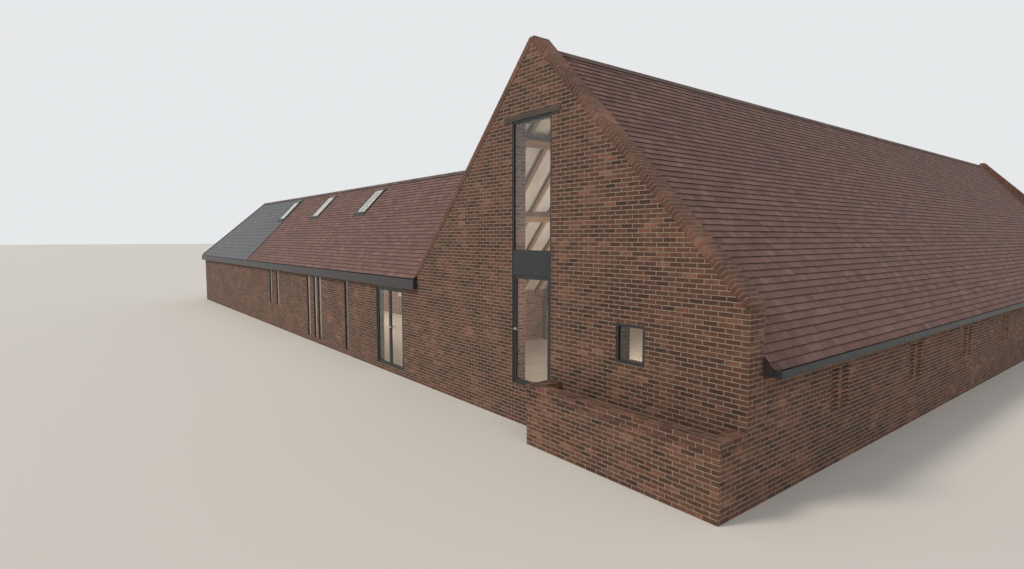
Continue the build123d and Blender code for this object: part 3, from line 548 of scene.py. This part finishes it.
dress(oak_finish("sawn_oak_across", along_x), "truss_beams")
dress(oak_finish("sawn_oak_upright", along_z), "truss_posts")
dress(oak_finish("sawn_oak_lengthwise", along_y), "purlins")
dress(oak_finish("sawn_oak_raking", along_x, lean=roof_angle), "principals", "rafters")
dress(oak_finish("sawn_oak_braces", along_x, lean=-math.radians(45)), "truss_braces")
dress(oak_finish("sawn_softwood_plate", along_x), "wing_wall_heads", "wing_end_head")


# The barn's roof: plain clay tiles, 210 mm wide with 133 mm of each showing, nailed to battens in half bond.
# Each tail stands about 13 mm over the course below, and the lowest course hangs 55 mm over the gutter. The slabs
# under them are plastered on their inner side.

tile_width = 0.21
tile_gauge = 0.133
tile_joint = 0.002
tile_bond = (tile_width, tile_gauge, tile_joint)
tile_tail = 0.013
tile_head = 0.001
tile_arris = 0.0008
tile_overhang = 0.055
ridge_clear = 0.02
eaves_x = 4.37
eaves_z = 1.85


def tiling(name, corners, origin, along, up, seed, finish, slot_name, tail, head):
    """Lays tiles on a slope: the lower edge of each stands off by the tail's height, the upper by the head's.

    Lift, lie and tone differ a little from tile to tile. Each point also carries lap, which is 1 at the head,
    where the next course lies over it, and 0 at the tail.
    """
    rng = np.random.default_rng(seed)
    count = len(corners)
    lift = rng.normal(0.0, 0.0008, (count, 1))
    tilt = rng.normal(0.0, 0.0005, (count, 1))
    stand = np.concatenate([tail + lift - tilt, tail + lift + tilt, head + tilt / 2, head - tilt / 2], axis=1)
    slipped = corners.copy()
    slipped[:, :2, 1] += rng.normal(0.0, 0.0015, (count, 1))
    piece = lay(name, rings(slipped, stand, tile_arris, origin, along, up), rng.beta(6.0, 6.0, count), finish)
    mark(piece, "lap", np.tile([0.0] * 6 + [1.0] * 2, count))


# Matt clay tiles, brown with a plum cast, sooted in clouds half a metre across. Their tails and sides are
# painted near black as shade, and a painted shade line darkens the head of each, under the next course.
tile_clay, tree, shader, place, tone, edge, lap = new_finish("plain_clay_tile", "tone", "edge", "lap")
soot = add(tree, "TexNoise", {"Vector": place, "Scale": 1.9, "Detail": 7.0, "Roughness": 0.66})
clay = unit_colour(tree, tone, soot, 0.55, [(0.0, "#513a35"), (0.3, "#634842"), (0.55, "#6e514a"),
                                            (0.8, "#7a5c54"), (1.0, "#886a60")])
lichen = add(tree, "TexNoise", {"Vector": place, "Scale": 22.0, "Detail": 5.0, "Roughness": 0.7})
spots = add(tree, "MapRange", {"Value": lichen, "From Min": 0.62, "From Max": 0.75, "To Max": 0.3})
speckled = add(tree, "Mix", {0: spots, 6: clay, 7: "#958b7c"}, data_type="RGBA")
# Painted shade: the head of each tile darkens where the next course laps over it.
lap_painted_shade = add(tree, "MapRange", {"Value": lap, "From Min": 0.76, "From Max": 0.98, "To Max": 0.5})
lap_shaded = add(tree, "Mix", {0: lap_painted_shade, 6: speckled, 7: "#33261f"}, data_type="RGBA")
# Painted shade: the tails and sides of the tiles are painted near black, away from the front face.
on_top = add(tree, "MapRange", {"Value": edge, "From Min": 0.8, "From Max": 0.98})
sand = add(tree, "TexNoise", {"Vector": place, "Scale": 1 / 0.008, "Detail": 3.0})
coat(shader, add(tree, "Mix", {0: on_top, 6: "#2c201c", 7: lap_shaded}, data_type="RGBA"), 0.85, sand, 0.4, 0.002)
plain_tiles = (tile_clay, "roof_tile", tile_tail, tile_head)


def under_roof(name, outer_code, edge_code):
    """The slab under a roof covering: lime plaster where it faces down indoors, boarding elsewhere."""
    finish, tree, shader, place = new_finish(name)
    facing = add(tree, "SeparateXYZ", {"Vector": add(tree, "NewGeometry").outputs["True Normal"]})
    down = add(tree, "Math", {0: facing.outputs["Z"], 1: -0.2}, operation="LESS_THAN")
    trowel = add(tree, "TexNoise", {"Vector": place, "Scale": 3.0, "Detail": 7.0, "Roughness": 0.6})
    boards, plaster = (add(tree, "ValToRGB", {"Fac": trowel}, stops=[(0.35, dull), (0.65, bright)])
                       for dull, bright in ((outer_code, edge_code), ("#b7ab9f", "#c4b9ad")))
    coat(shader, add(tree, "Mix", {0: down, 6: boards, 7: plaster}, data_type="RGBA"), 0.85, trowel, 0.2, 0.004)
    return finish


dress(under_roof("plaster_and_tile_bed", "#3b302c", "#4c3d37"), "roof_right", "roof_left", "wing_tiled_front",
      "wing_tiled_rear")

slope_cos, slope_sin = math.cos(roof_angle), math.sin(roof_angle)
tiled = eaves_x / slope_cos + tile_overhang
tail_x, tail_z = eaves_x + tile_overhang * slope_cos, eaves_z - tile_overhang * slope_sin
field = bond(gable_wall, gable_back - gable_wall, 0, tiled - ridge_clear, *tile_bond)
tiling("right_roof_tiles", outline(field), (tail_x, 0, tail_z), (0, 1, 0), (-slope_cos, 0, slope_sin), 51,
       *plain_tiles)

# On the other side the wing's roof runs into this slope, and the tiles are cut along the two valleys. Below the
# wing's eaves they run on to its rear wall. Over course 36 they are clear of the wing's ridge.
wing_ridge = 5.442
wing_fall = 1.056884
wing_mid = 2.65
nose_y = -0.095
nose_z = wing_ridge + wing_fall * (nose_y - wing_mid)
wall_gap = 0.005
valley_open = 0.05
valley_reach = (barn_fall * eaves_x - (barn_ridge - wing_ridge)) / wing_fall
valley_lean = barn_fall * slope_cos / wing_fall
valley_top = 36 * tile_gauge - 0.01
valley_foot = (nose_z - eaves_z) / slope_sin + tile_overhang
field = bond(gable_wall - gable_back, -gable_wall, 0, tiled - ridge_clear, *tile_bond)
foot = field[(field[:, 3] < valley_foot) & (field[:, 0] < -wing_back_y)]
foot[:, 1] = np.minimum(foot[:, 1], -wing_back_y - wall_gap)
upper = outline(field[field[:, 2] >= valley_top])
lower = outline(field[(field[:, 2] < valley_top) & (field[:, 3] >= valley_foot)])
shift = -valley_reach - valley_open - valley_lean * tile_overhang
far = trim(lower, -wing_mid + shift, valley_lean)
near = trim(lower, wing_mid + shift, valley_lean, side=-1)
tiling("left_roof_tiles", np.concatenate([upper, far, near, outline(worth_laying(foot))]), (-tail_x, 0, tail_z),
       (0, -1, 0), (slope_cos, 0, slope_sin), 52, *plain_tiles)


# The wing's roof: the same plain tiles up to the slates, cut at the valleys, the gable and the roof windows.

wing_angle = math.atan(wing_fall)
wing_cos, wing_sin = math.cos(wing_angle), math.sin(wing_angle)
wing_slope = (wing_mid - nose_y) / wing_cos
slates_from = 19.47
in_valley = 1.2
valley_start = -(barn_ridge - wing_ridge + wing_fall * (wing_mid - nose_y)) / barn_fall - valley_open
valley_slope = wing_fall * wing_cos / barn_fall
roof_windows = (-11.15, -15.65, -20.03)
window_foot = 1.6095
window_low = (window_foot - nose_y) / wing_cos
window_wide, window_long = 0.84, 1.22
window_holes = holes(roof_windows, window_wide / 2, window_low, window_low + window_long)
front_slope = ((0, nose_y, nose_z), (1, 0, 0), (0, wing_cos, wing_sin))
rear_slope = ((0, wing_back_y - nose_y, nose_z), (-1, 0, 0), (0, -wing_cos, wing_sin))
front = bond(-slates_from, -in_valley, 0, wing_slope - ridge_clear, *tile_bond)
front = cut(front, (-gable_half, 0, -1, (gable_wall - nose_y) / wing_cos), *window_holes)
tiling("wing_front_tiles", trim(outline(front), valley_start, valley_slope), *front_slope, 53, *plain_tiles)
rear = bond(in_valley, slates_from, 0, wing_slope - ridge_clear, *tile_bond)
tiling("wing_rear_tiles", trim(outline(rear), valley_start, valley_slope, side=-1), *rear_slope, 54, *plain_tiles)


# The slated end of the wing: natural slates 300 mm wide with 220 mm showing, nailed, round the hipped end.

slate_bond = (0.30, 0.22, 0.004)
slate_tail = 0.007
slate_head = 0.001
hip_edge = 29.35
hip_run = 3.0
hip_half = 2.76
hip_foot = 2.525
hip_fall = (wing_ridge - hip_foot) / hip_run
gutter_out = 0.11

# Split slate, blue-grey with plum and green tints from slate to slate, smooth but faintly rippled along the cut.
slate, tree, shader, place, tone, edge = new_finish("split_blue_slate", "tone", "edge")
ripple = add(tree, "TexNoise", {"Vector": place, "Scale": 6.0, "Detail": 8.0, "Roughness": 0.6})
split = unit_colour(tree, tone, ripple, 0.5, [(0.0, "#383a3f"), (0.35, "#424449"), (0.65, "#4a4c51"),
                                              (1.0, "#57595d")])
# Painted shade: the sides of each slate are painted darker than its face.
coat(shader, add(tree, "Mix", {0: edge, 6: "#282a2f", 7: split}, data_type="RGBA"), 0.55, ripple, 0.35, 0.004)
dress(under_roof("plaster_and_slate_bed", "#2b2e34", "#3a3e45"), "wing_slates")
slates = (slate, "slate", slate_tail, slate_head)

hip_lean = wing_cos * hip_run / hip_half
hip_start = hip_edge - (nose_y + gutter_out) * hip_run / hip_half
field = cut(bond(-hip_edge, -slates_from, 0, wing_slope - ridge_clear, *slate_bond), *window_holes)
tiling("front_slates", trim(outline(field), hip_start, -hip_lean, side=-1), *front_slope, 55, *slates)
field = bond(slates_from, hip_edge, 0, wing_slope - ridge_clear, *slate_bond)
tiling("rear_slates", trim(outline(field), hip_start, -hip_lean), *rear_slope, 56, *slates)
hip_nose = (nose_y + gutter_out) * hip_run / hip_half
hip_angle = math.atan(hip_fall)
hip_cos, hip_sin = math.cos(hip_angle), math.sin(hip_angle)
reach = (hip_half * (1 - hip_nose / hip_run), -hip_half * hip_cos / hip_run)
field = bond(-hip_half, hip_half, 0, (hip_run - hip_nose) / hip_cos, *slate_bond)
tiling("hip_slates", trim_both(outline(field), *reach),
       (-hip_edge + hip_nose, wing_mid, hip_foot + hip_fall * hip_nose), (0, -1, 0), (hip_cos, 0, hip_sin), 57,
       *slates)


# Ridge tiles: dark clay angles 450 mm long with a rounded crown, bedded end to end along both ridges.

ridge_length = 0.45
ridge_wing = 0.14
ridge_thick = 0.014
ridge_lift = 0.008
ridge_crown = 0.03
ridge_gap = 0.003
ridge_past_valley = -1.1


def bar_faces(width, count=1):
    """Faces of bars: each is a closed line of width points, carried from one end to the other.

    The line runs out along one side and back along the other, so both ends close with four-cornered faces.
    """
    i = np.arange(width)
    j = (i + 1) % width
    k = np.arange(width // 2 - 1)
    unit = np.concatenate([np.stack([i, j, j + width, i + width], axis=-1),
                           np.stack([k, width - 1 - k, width - 2 - k, k + 1], axis=-1),
                           np.stack([k, k + 1, width - 2 - k, width - 1 - k], axis=-1) + width])
    return (unit + 2 * width * np.arange(count)[:, None, None]).reshape(-1, 4)


def ridge_run(name, start, end, across, lie, top, angle, stop=None):
    """Angled tiles along a ridge: an angle with a rounded crown, carried from joint to joint.

    The outer line goes up one wing, round an arc of 30 mm and down the other. The inner line is the same, one
    thickness further in. Points past the stop are moved back to it, which cuts the last tile.
    """
    count = round(abs(end - start) / ridge_length)
    turn = np.linspace(-angle, angle, 7)

    def half_line(off):
        arc = np.stack([(ridge_crown - off) * np.sin(turn), -ridge_crown + (ridge_crown - off) * np.cos(turn)],
                       axis=-1)
        leg = (ridge_wing - ridge_crown * math.tan(angle / 2)) * np.array([math.cos(angle), -math.sin(angle)])
        return np.concatenate([[arc[0] + leg * (-1, 1)], arc, [arc[-1] + leg]])

    profile = np.concatenate([half_line(0.0), half_line(ridge_thick)[::-1]])
    width = len(profile)
    joints = start + (end - start) * np.arange(count + 1) / count
    gap = ridge_gap * np.sign(end - start)
    stations = np.stack([joints[:-1] + gap, joints[1:] - gap], axis=1)
    points = np.empty((count, 2, width, 3))
    points[..., 2] = top + ridge_lift + ridge_thick + profile[:, 1]
    points[..., across] = lie + profile[:, 0]
    points[..., 1 - across] = stations[:, :, None]
    if stop is not None:
        limit = stop(np.abs(points[..., across] - lie), points[..., 2])
        points[..., 1 - across] = np.minimum(points[..., 1 - across], limit)
    piece = piece_of(name, points, bar_faces(width, count), ridge_clay)
    mark(piece, "tone", np.repeat(np.random.default_rng(61).beta(1.6, 1.6, count), 2 * width))
    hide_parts("ridge_tiles")


# Dark fired clay, a shade deeper than the tiles, matt with a dusty bloom.
ridge_clay, tree, shader, place, tone = new_finish("dark_clay_ridge", "tone")
bloom = add(tree, "TexNoise", {"Vector": place, "Scale": 9.0, "Detail": 6.0, "Roughness": 0.65})
coat(shader, unit_colour(tree, tone, bloom, 0.7, [(0.0, "#443531"), (0.5, "#564540"), (1.0, "#695650")]), 0.8, bloom,
     0.3, 0.003)

ridge_run("barn_ridge_tiles", gable_wall, gable_back - gable_wall, 0, 0.0, barn_ridge, roof_angle)
ridge_run("wing_ridge_tiles", -hip_edge + hip_run, ridge_past_valley, 1, wing_mid, wing_ridge, wing_angle,
          stop=lambda out, z: -(barn_ridge - z) / barn_fall)


# Lead: dressed sheet over the hips, in the valleys, below the roof windows and between slates and tiles. It is
# 2 mm thick, dark grey with a white bloom.

lead, tree, shader, place, bloom, grey = clouded("weathered_sheet_lead", 5.0, 7.0, 0.7,
                                                 [(0.3, "#26272a"), (0.55, "#323437"), (0.75, "#45474b")])
coat(shader, grey, 0.55, bloom, 0.4, 0.006)
feed(shader, {"Metallic": 0.4})
dress(lead, "lead_caps")

valley_half = 0.055
valley_lift = 0.006
sheet_thick = 0.002


def valley_lining(name, side, low_z):
    """Lead in the angle between the roofs, from height low_z to the wing's ridge, as a bent strip.

    At height z the valley is at x = -(barn ridge - z) / barn fall, and (wing ridge - z) / wing fall to one side
    of the wing's ridge. The strip's edges lie level with it, along the barn's courses and along the wing's.
    """
    z = np.array([low_z, wing_ridge])
    x = -(barn_ridge - z) / barn_fall
    y = wing_mid + side * (wing_ridge - z) / wing_fall
    on_barn = np.stack([x, y + side * valley_half, z], axis=-1)
    on_wing = np.stack([x - valley_half, y, z], axis=-1)
    over = np.stack([on_barn, np.stack([x, y, z], axis=-1), on_wing], axis=1) + (0, 0, valley_lift)
    points = np.concatenate([over, over[:, ::-1] - (0, 0, sheet_thick)], axis=1)
    faces = bar_faces(6)
    piece_of(name, points, faces[:, ::-1] if side < 0 else faces, lead)


valley_lining("front_valley_lead", -1, wing_ridge - wing_fall * (wing_mid - gable_wall))
valley_lining("rear_valley_lead", 1, wing_ridge - wing_fall * (wing_mid + gutter_out))

apron_low = 0.09
apron_side = 0.03
apron_lift = 0.0165


def thicken(piece):
    """Gives a sheet its thickness, outwards from the face that lies on the roof."""
    thickness = piece.modifiers.new("sheet", "SOLIDIFY")
    thickness.thickness = sheet_thick
    thickness.offset = 1.0


def sheet_on_slope(name, along, up, height, rear=False):
    """Lead dressed over the wing's roof: grids of places along it, up it from the eaves, and heights over it."""
    y = nose_y + up * wing_cos - height * wing_sin
    z = nose_z + up * wing_sin + height * wing_cos
    points = np.stack([along, wing_back_y - y if rear else y, z], axis=-1)
    rows, columns = along.shape
    i, j = np.meshgrid(np.arange(rows - 1), np.arange(columns - 1), indexing="ij")
    corner = (i * columns + j).ravel()
    faces = np.stack([corner, corner + columns, corner + columns + 1, corner + 1], axis=-1)
    thicken(piece_of(name, points, faces[:, ::-1] if rear else faces, lead))


# Each apron below a roof window has six small ripples across it, and its head curls up by 4 mm to the window.
for k, x in enumerate(roof_windows):
    u, v = np.meshgrid(np.linspace(0, 1, 29), np.linspace(0, 1, 7), indexing="ij")
    ripple_height = apron_lift + 0.0015 * np.sin(38 * u) * np.cos(5 * v) + 0.004 * v ** 2
    sheet_on_slope(f"roof_window_apron_{k + 1}", x + (u - 0.5) * (window_wide + 2 * apron_side),
                   window_low - apron_low * (1 - v), ripple_height)

# Where the slates meet the tiles a lead roll runs up each slope: 110 mm across, with a bell-shaped crown.
roll_width = 0.11
roll_crown = 0.016
roll_lift = 0.0135
roll_under_ridge = 0.02
u, v = np.meshgrid(np.linspace(0, 1, 13), np.linspace(0, 1, 9), indexing="ij")
roll_height = roll_lift + roll_crown * np.exp(-((u - 0.5) / 0.2) ** 2)
for name, rear in (("front_slate_roll", False), ("rear_slate_roll", True)):
    sheet_on_slope(name, -slates_from + (u - 0.5) * roll_width, v * (wing_slope - ridge_wing + roll_under_ridge),
                   roll_height, rear)

# Where the wing's slope stands higher than the foot of the gable's coping, lead closes its end and its edge: two
# three-cornered sheets, one facing along the barn's front and one facing the gable.
flash_under = 0.018
flash_over = 0.01
flash_side = 0.015
flash_low = foot_z - flash_under
flash_top = wing_ridge + wing_fall * (gable_wall - wing_mid) + flash_over
flash_front = wing_mid + (flash_low - flash_over - wing_ridge) / wing_fall
flash_inner = -(coping_top - flash_top) / gable_fall + flash_side
flash_foot = [-gable_half, gable_wall, flash_low]
flash_peak = [-gable_half, gable_wall, flash_top]
for name, corners in (("coping_end_flashing", [[-gable_half, flash_front, flash_low], flash_foot, flash_peak]),
                      ("coping_edge_flashing", [flash_foot, [flash_inner, gable_wall, flash_top], flash_peak])):
    thicken(piece_of(name, np.array(corners), np.array([[0, 1, 2]]), lead))


# Gutters: folded metal box gutters, coated dark grey, dusty along their faces. Those of the barn are a bluer
# grey, a painted reflection of the sky, and the floor of every channel is painted dark as silt and as shade.

coated, tree, shader, place, dust, grey = clouded("dark_grey_coated_metal", 2.5, 8.0, 0.7,
                                                  [(0.3, "#28282a"), (0.55, "#333235"), (0.8, "#484749")])
height = add(tree, "SeparateXYZ", {"Vector": place})
barns = add(tree, "Math", {0: height.outputs["Z"], 1: 2.0}, operation="LESS_THAN")
# Painted reflection: the barn's gutters, below 2 m, are tinted blue for the sky.
painted_sky_tint = add(tree, "Mix", {0: barns, 6: grey, 7: "#a9bdd6"}, data_type="RGBA", blend_type="MULTIPLY")
facing = add(tree, "SeparateXYZ", {"Vector": add(tree, "NewGeometry").outputs["True Normal"]})
faces_up = add(tree, "Math", {0: facing.outputs["Z"], 1: 0.5}, operation="GREATER_THAN")
# The floor of every channel, facing up, is painted dark: silt and painted shade.
feed(shader, {"Base Color": add(tree, "Mix", {0: faces_up, 6: painted_sky_tint, 7: "#2a2622"}, data_type="RGBA"),
              "Roughness": add(tree, "Math", {0: dust, 1: 0.3, 2: 0.3}, operation="MULTIPLY_ADD")})
dress(coated, "eaves_gutters", "wing_end_gutter")


# The lintel over the glazed slot: a weathered oak beam, gone nearly black.

dress(oak_finish("weathered_black_oak", along_x, tones=("#38312a", "#4a4239", "#5f574c")), "slot_lintels")


# Window and door frames, the spandrel between them and the leaves: aluminium sections with a satin anthracite
# powder coat, which has a fine orange-peel surface.

anthracite, tree, shader, place, clouds, grey = clouded("anthracite_powder_coat", 3.0, 6.0, 0.7,
                                                        [(0.3, "#1d2022"), (0.7, "#2b2f31")])
coat(shader, grey, 0.42, add(tree, "TexNoise", {"Vector": place, "Scale": 1 / 0.002, "Detail": 1.0}), 0.15, 0.0005)
dress(anthracite, "window_frames", "door_frames", "spandrel_panel", "door_leaf", "wing_leaf_left",
      "wing_leaf_right")


# Glass: clear double glazing with a faint film of dust.

glass, tree, shader, place, film, dusty = clouded("clear_float_glass", 2.0, 6.0, 0.7,
                                                  [(0.35, "#f2f7f6"), (0.7, "#e2e9e7")])
feed(shader, {"Base Color": dusty, "Roughness": 0.0, "Transmission Weight": 1.0, "IOR": 1.5})
dress(glass, "window_panes", "door_pane", "wing_pane_left", "wing_pane_right")


# Linings 12 mm thick: white painted boards round the holes for the roof windows, and lime plaster on the sides
# of the wing's slits and rear windows. The slit nearest the barn and the doorways keep bare brick sides.

reveal_thick = 0.012
frame_back = 0.069
wing_wall = 0.24
wing_floor_low = 0.13
window_frame = 0.07
roof_slab = 0.15
lining_proud = 0.007


def reveals(name, openings, near, far, finish, *plane):
    """Linings of openings in a plane: each is a rectangular ring, carried from depth near to depth far.

    Each lining has sixteen points: outer and inner corners in front, then the same at the back.
    """
    outer = outline(np.array(openings, float))
    flat = np.concatenate([outer, drawn_in(outer, reveal_thick)], axis=1)
    points = np.concatenate([placed(flat, -near, *plane), placed(flat, -far, *plane)], axis=1)
    i = np.arange(4)
    j = (i + 1) % 4
    quads = [(i, j, j + 4, i + 4), (i + 8, i + 12, j + 12, j + 8), (i + 4, j + 4, j + 12, i + 12),
             (i, i + 8, j + 8, j)]
    unit = np.concatenate([np.stack(quad, axis=-1) for quad in quads])
    faces = (unit + 16 * np.arange(len(openings))[:, None, None]).reshape(-1, 4)
    piece_of(name, points, faces, finish)


# Lime plaster, trowelled by hand: chalky and faintly cloudy.
plaster, tree, shader, place, clouds, pale = clouded("trowelled_lime_plaster", 4.0, 6.0, 0.6,
                                                     [(0.35, "#c6b8ab"), (0.65, "#d6cabe")])
coat(shader, pale, 0.7, clouds, 0.3, 0.003)

# White gloss-free paint on planed boards: smooth, with brush marks too fine to show drawn as clouds 50 mm across.
painted, tree, shader, place, clouds, pale = clouded("white_painted_boards", 20.0, 6.0, 0.6,
                                                     [(0.35, "#c3b9ae"), (0.65, "#cfc6bc")])
coat(shader, pale, 0.7, clouds, 0.3, 0.0005)

slits = holes(tall_slits[1:], slit_half, wing_floor_low, wing_head) + holes(short_slits, slit_half, slit_sill,
                                                                            wing_head)
reveals("wing_front_reveals", slits, frame_back, wing_wall, plaster, (0, 0, 0), (1, 0, 0), (0, 0, 1))
reveals("wing_rear_reveals", holes(rear_windows, rear_half, rear_sill, wing_head), frame_back, wing_wall, plaster,
        (0, wing_back_y, 0), (-1, 0, 0), (0, 0, 1))
lined = np.array(window_holes) + window_frame * np.array([1, -1, 1, -1])
reveals("roof_window_linings", lined, -lining_proud, roof_slab, painted, *front_slope)


# Door fittings: levers on round roses and lift-off hinges, of brushed stainless steel.

steel, tree, shader, place = new_finish("brushed_stainless_steel")
brushed = add(tree, "Mapping", {"Vector": place, "Scale": (60.0, 900.0, 900.0)})
lines = add(tree, "TexNoise", {"Vector": brushed, "Scale": 1.0, "Detail": 2.0})
feed(shader, {"Base Color": "#c2c1be", "Metallic": 1.0,
              "Roughness": add(tree, "Math", {0: lines, 1: 0.2, 2: 0.22}, operation="MULTIPLY_ADD")})
dress(steel, "door_fittings", "wing_fittings_left", "wing_fittings_right", "hinge_plates")


# The stage: a pale floor, the lamps and the photograph's camera.

floor_half = 400
floor_z = -0.002
ground, tree, shader, place = new_finish("pale_studio_floor")
feed(shader, {"Base Color": "#cfccc6", "Roughness": 0.95})
mesh = bpy.data.meshes.new("studio_floor")
mesh.from_pydata([(x * floor_half, y * floor_half, floor_z) for x, y in ((-1, -1), (1, -1), (1, 1), (-1, 1))], [],
                 [(0, 1, 2, 3)])
mesh.materials.append(ground)
floor = bpy.data.objects.new("studio_floor", mesh)
bpy.context.scene.collection.objects.link(floor)

world = bpy.data.worlds.new("soft_sky")
bpy.context.scene.world = world
world.use_nodes = True
tree = world.node_tree
tree.nodes.clear()
seen = add(tree, "LightPath")
either = add(tree, "Math", {0: seen.outputs["Is Camera Ray"], 1: seen.outputs["Is Transmission Ray"]},
             operation="MAXIMUM")
any_seen = add(tree, "Math", {0: either, 1: seen.outputs["Is Glossy Ray"]}, operation="MAXIMUM")
sky = add(tree, "Background", {"Color": "#f4f6fa", "Strength": 0.55})
backdrop = add(tree, "Background", {"Color": "#e6e8ea", "Strength": 1.0})
add(tree, "OutputWorld", {"Surface": add(tree, "MixShader", {0: any_seen, 1: sky, 2: backdrop})})


def lamp(name, kind, strength, tint, **settings):
    """Adds a lamp to the stage and gives back what holds it."""
    light = bpy.data.lights.new(name, kind)
    light.energy = strength
    light.color = linear(tint)[:3]
    for key, value in settings.items():
        setattr(light, key, value)
    holder = bpy.data.objects.new(name, light)
    bpy.context.scene.collection.objects.link(holder)
    return holder


# Two soft suns, each shining from its own direction.
for name, (x, y, z), strength, spread in (("key_sun", (-0.30, -0.62, 0.72), 1.7, 14),
                                          ("fill_sun", (0.75, -0.15, 0.64), 0.38, 30)):
    holder = lamp(name, "SUN", strength, "#fff6ea", angle=math.radians(spread))
    holder.rotation_euler = (math.atan2(math.hypot(x, y), z), 0.0, math.atan2(x, -y))

# Soft lamps in both rooms, unseen themselves.
room_lamps = [("barn_lamp_at_door", (0.2, 1.0, 2.6), 45, 0.3)]
room_lamps += [(f"barn_lamp_{i}", (0.6, y, 2.9), watts, 0.4)
               for i, (y, watts) in enumerate(((3.4, 290), (8.5, 170), (14.0, 170), (19.5, 170), (25.0, 170)))]
room_lamps += [(f"wing_lamp_{i}", (x, 2.9, 2.5), watts, 0.3)
               for i, (x, watts) in enumerate(((-5.5, 45), (-9.5, 120), (-13.5, 230), (-17.5, 180), (-21.5, 120),
                                               (-25.5, 100)))]
for name, middle, watts, size in room_lamps:
    holder = lamp(name, "POINT", watts, "#fff5ea", shadow_soft_size=size)
    holder.location = middle
    holder.visible_camera = holder.visible_transmission = holder.visible_glossy = False

lens = bpy.data.cameras.new("photograph_camera")
lens.sensor_width = 36.0
lens.lens = 20.373
lens.clip_end = 1000.0
camera = bpy.data.objects.new("photograph_camera", lens)
camera.location = (8.0317, -6.7864, 3.5084)
camera.rotation_euler = (math.radians(85.433), 0.0, math.radians(51.733))
bpy.context.scene.collection.objects.link(camera)
bpy.context.scene.camera = camera
bpy.context.scene.view_settings.view_transform = "Standard"
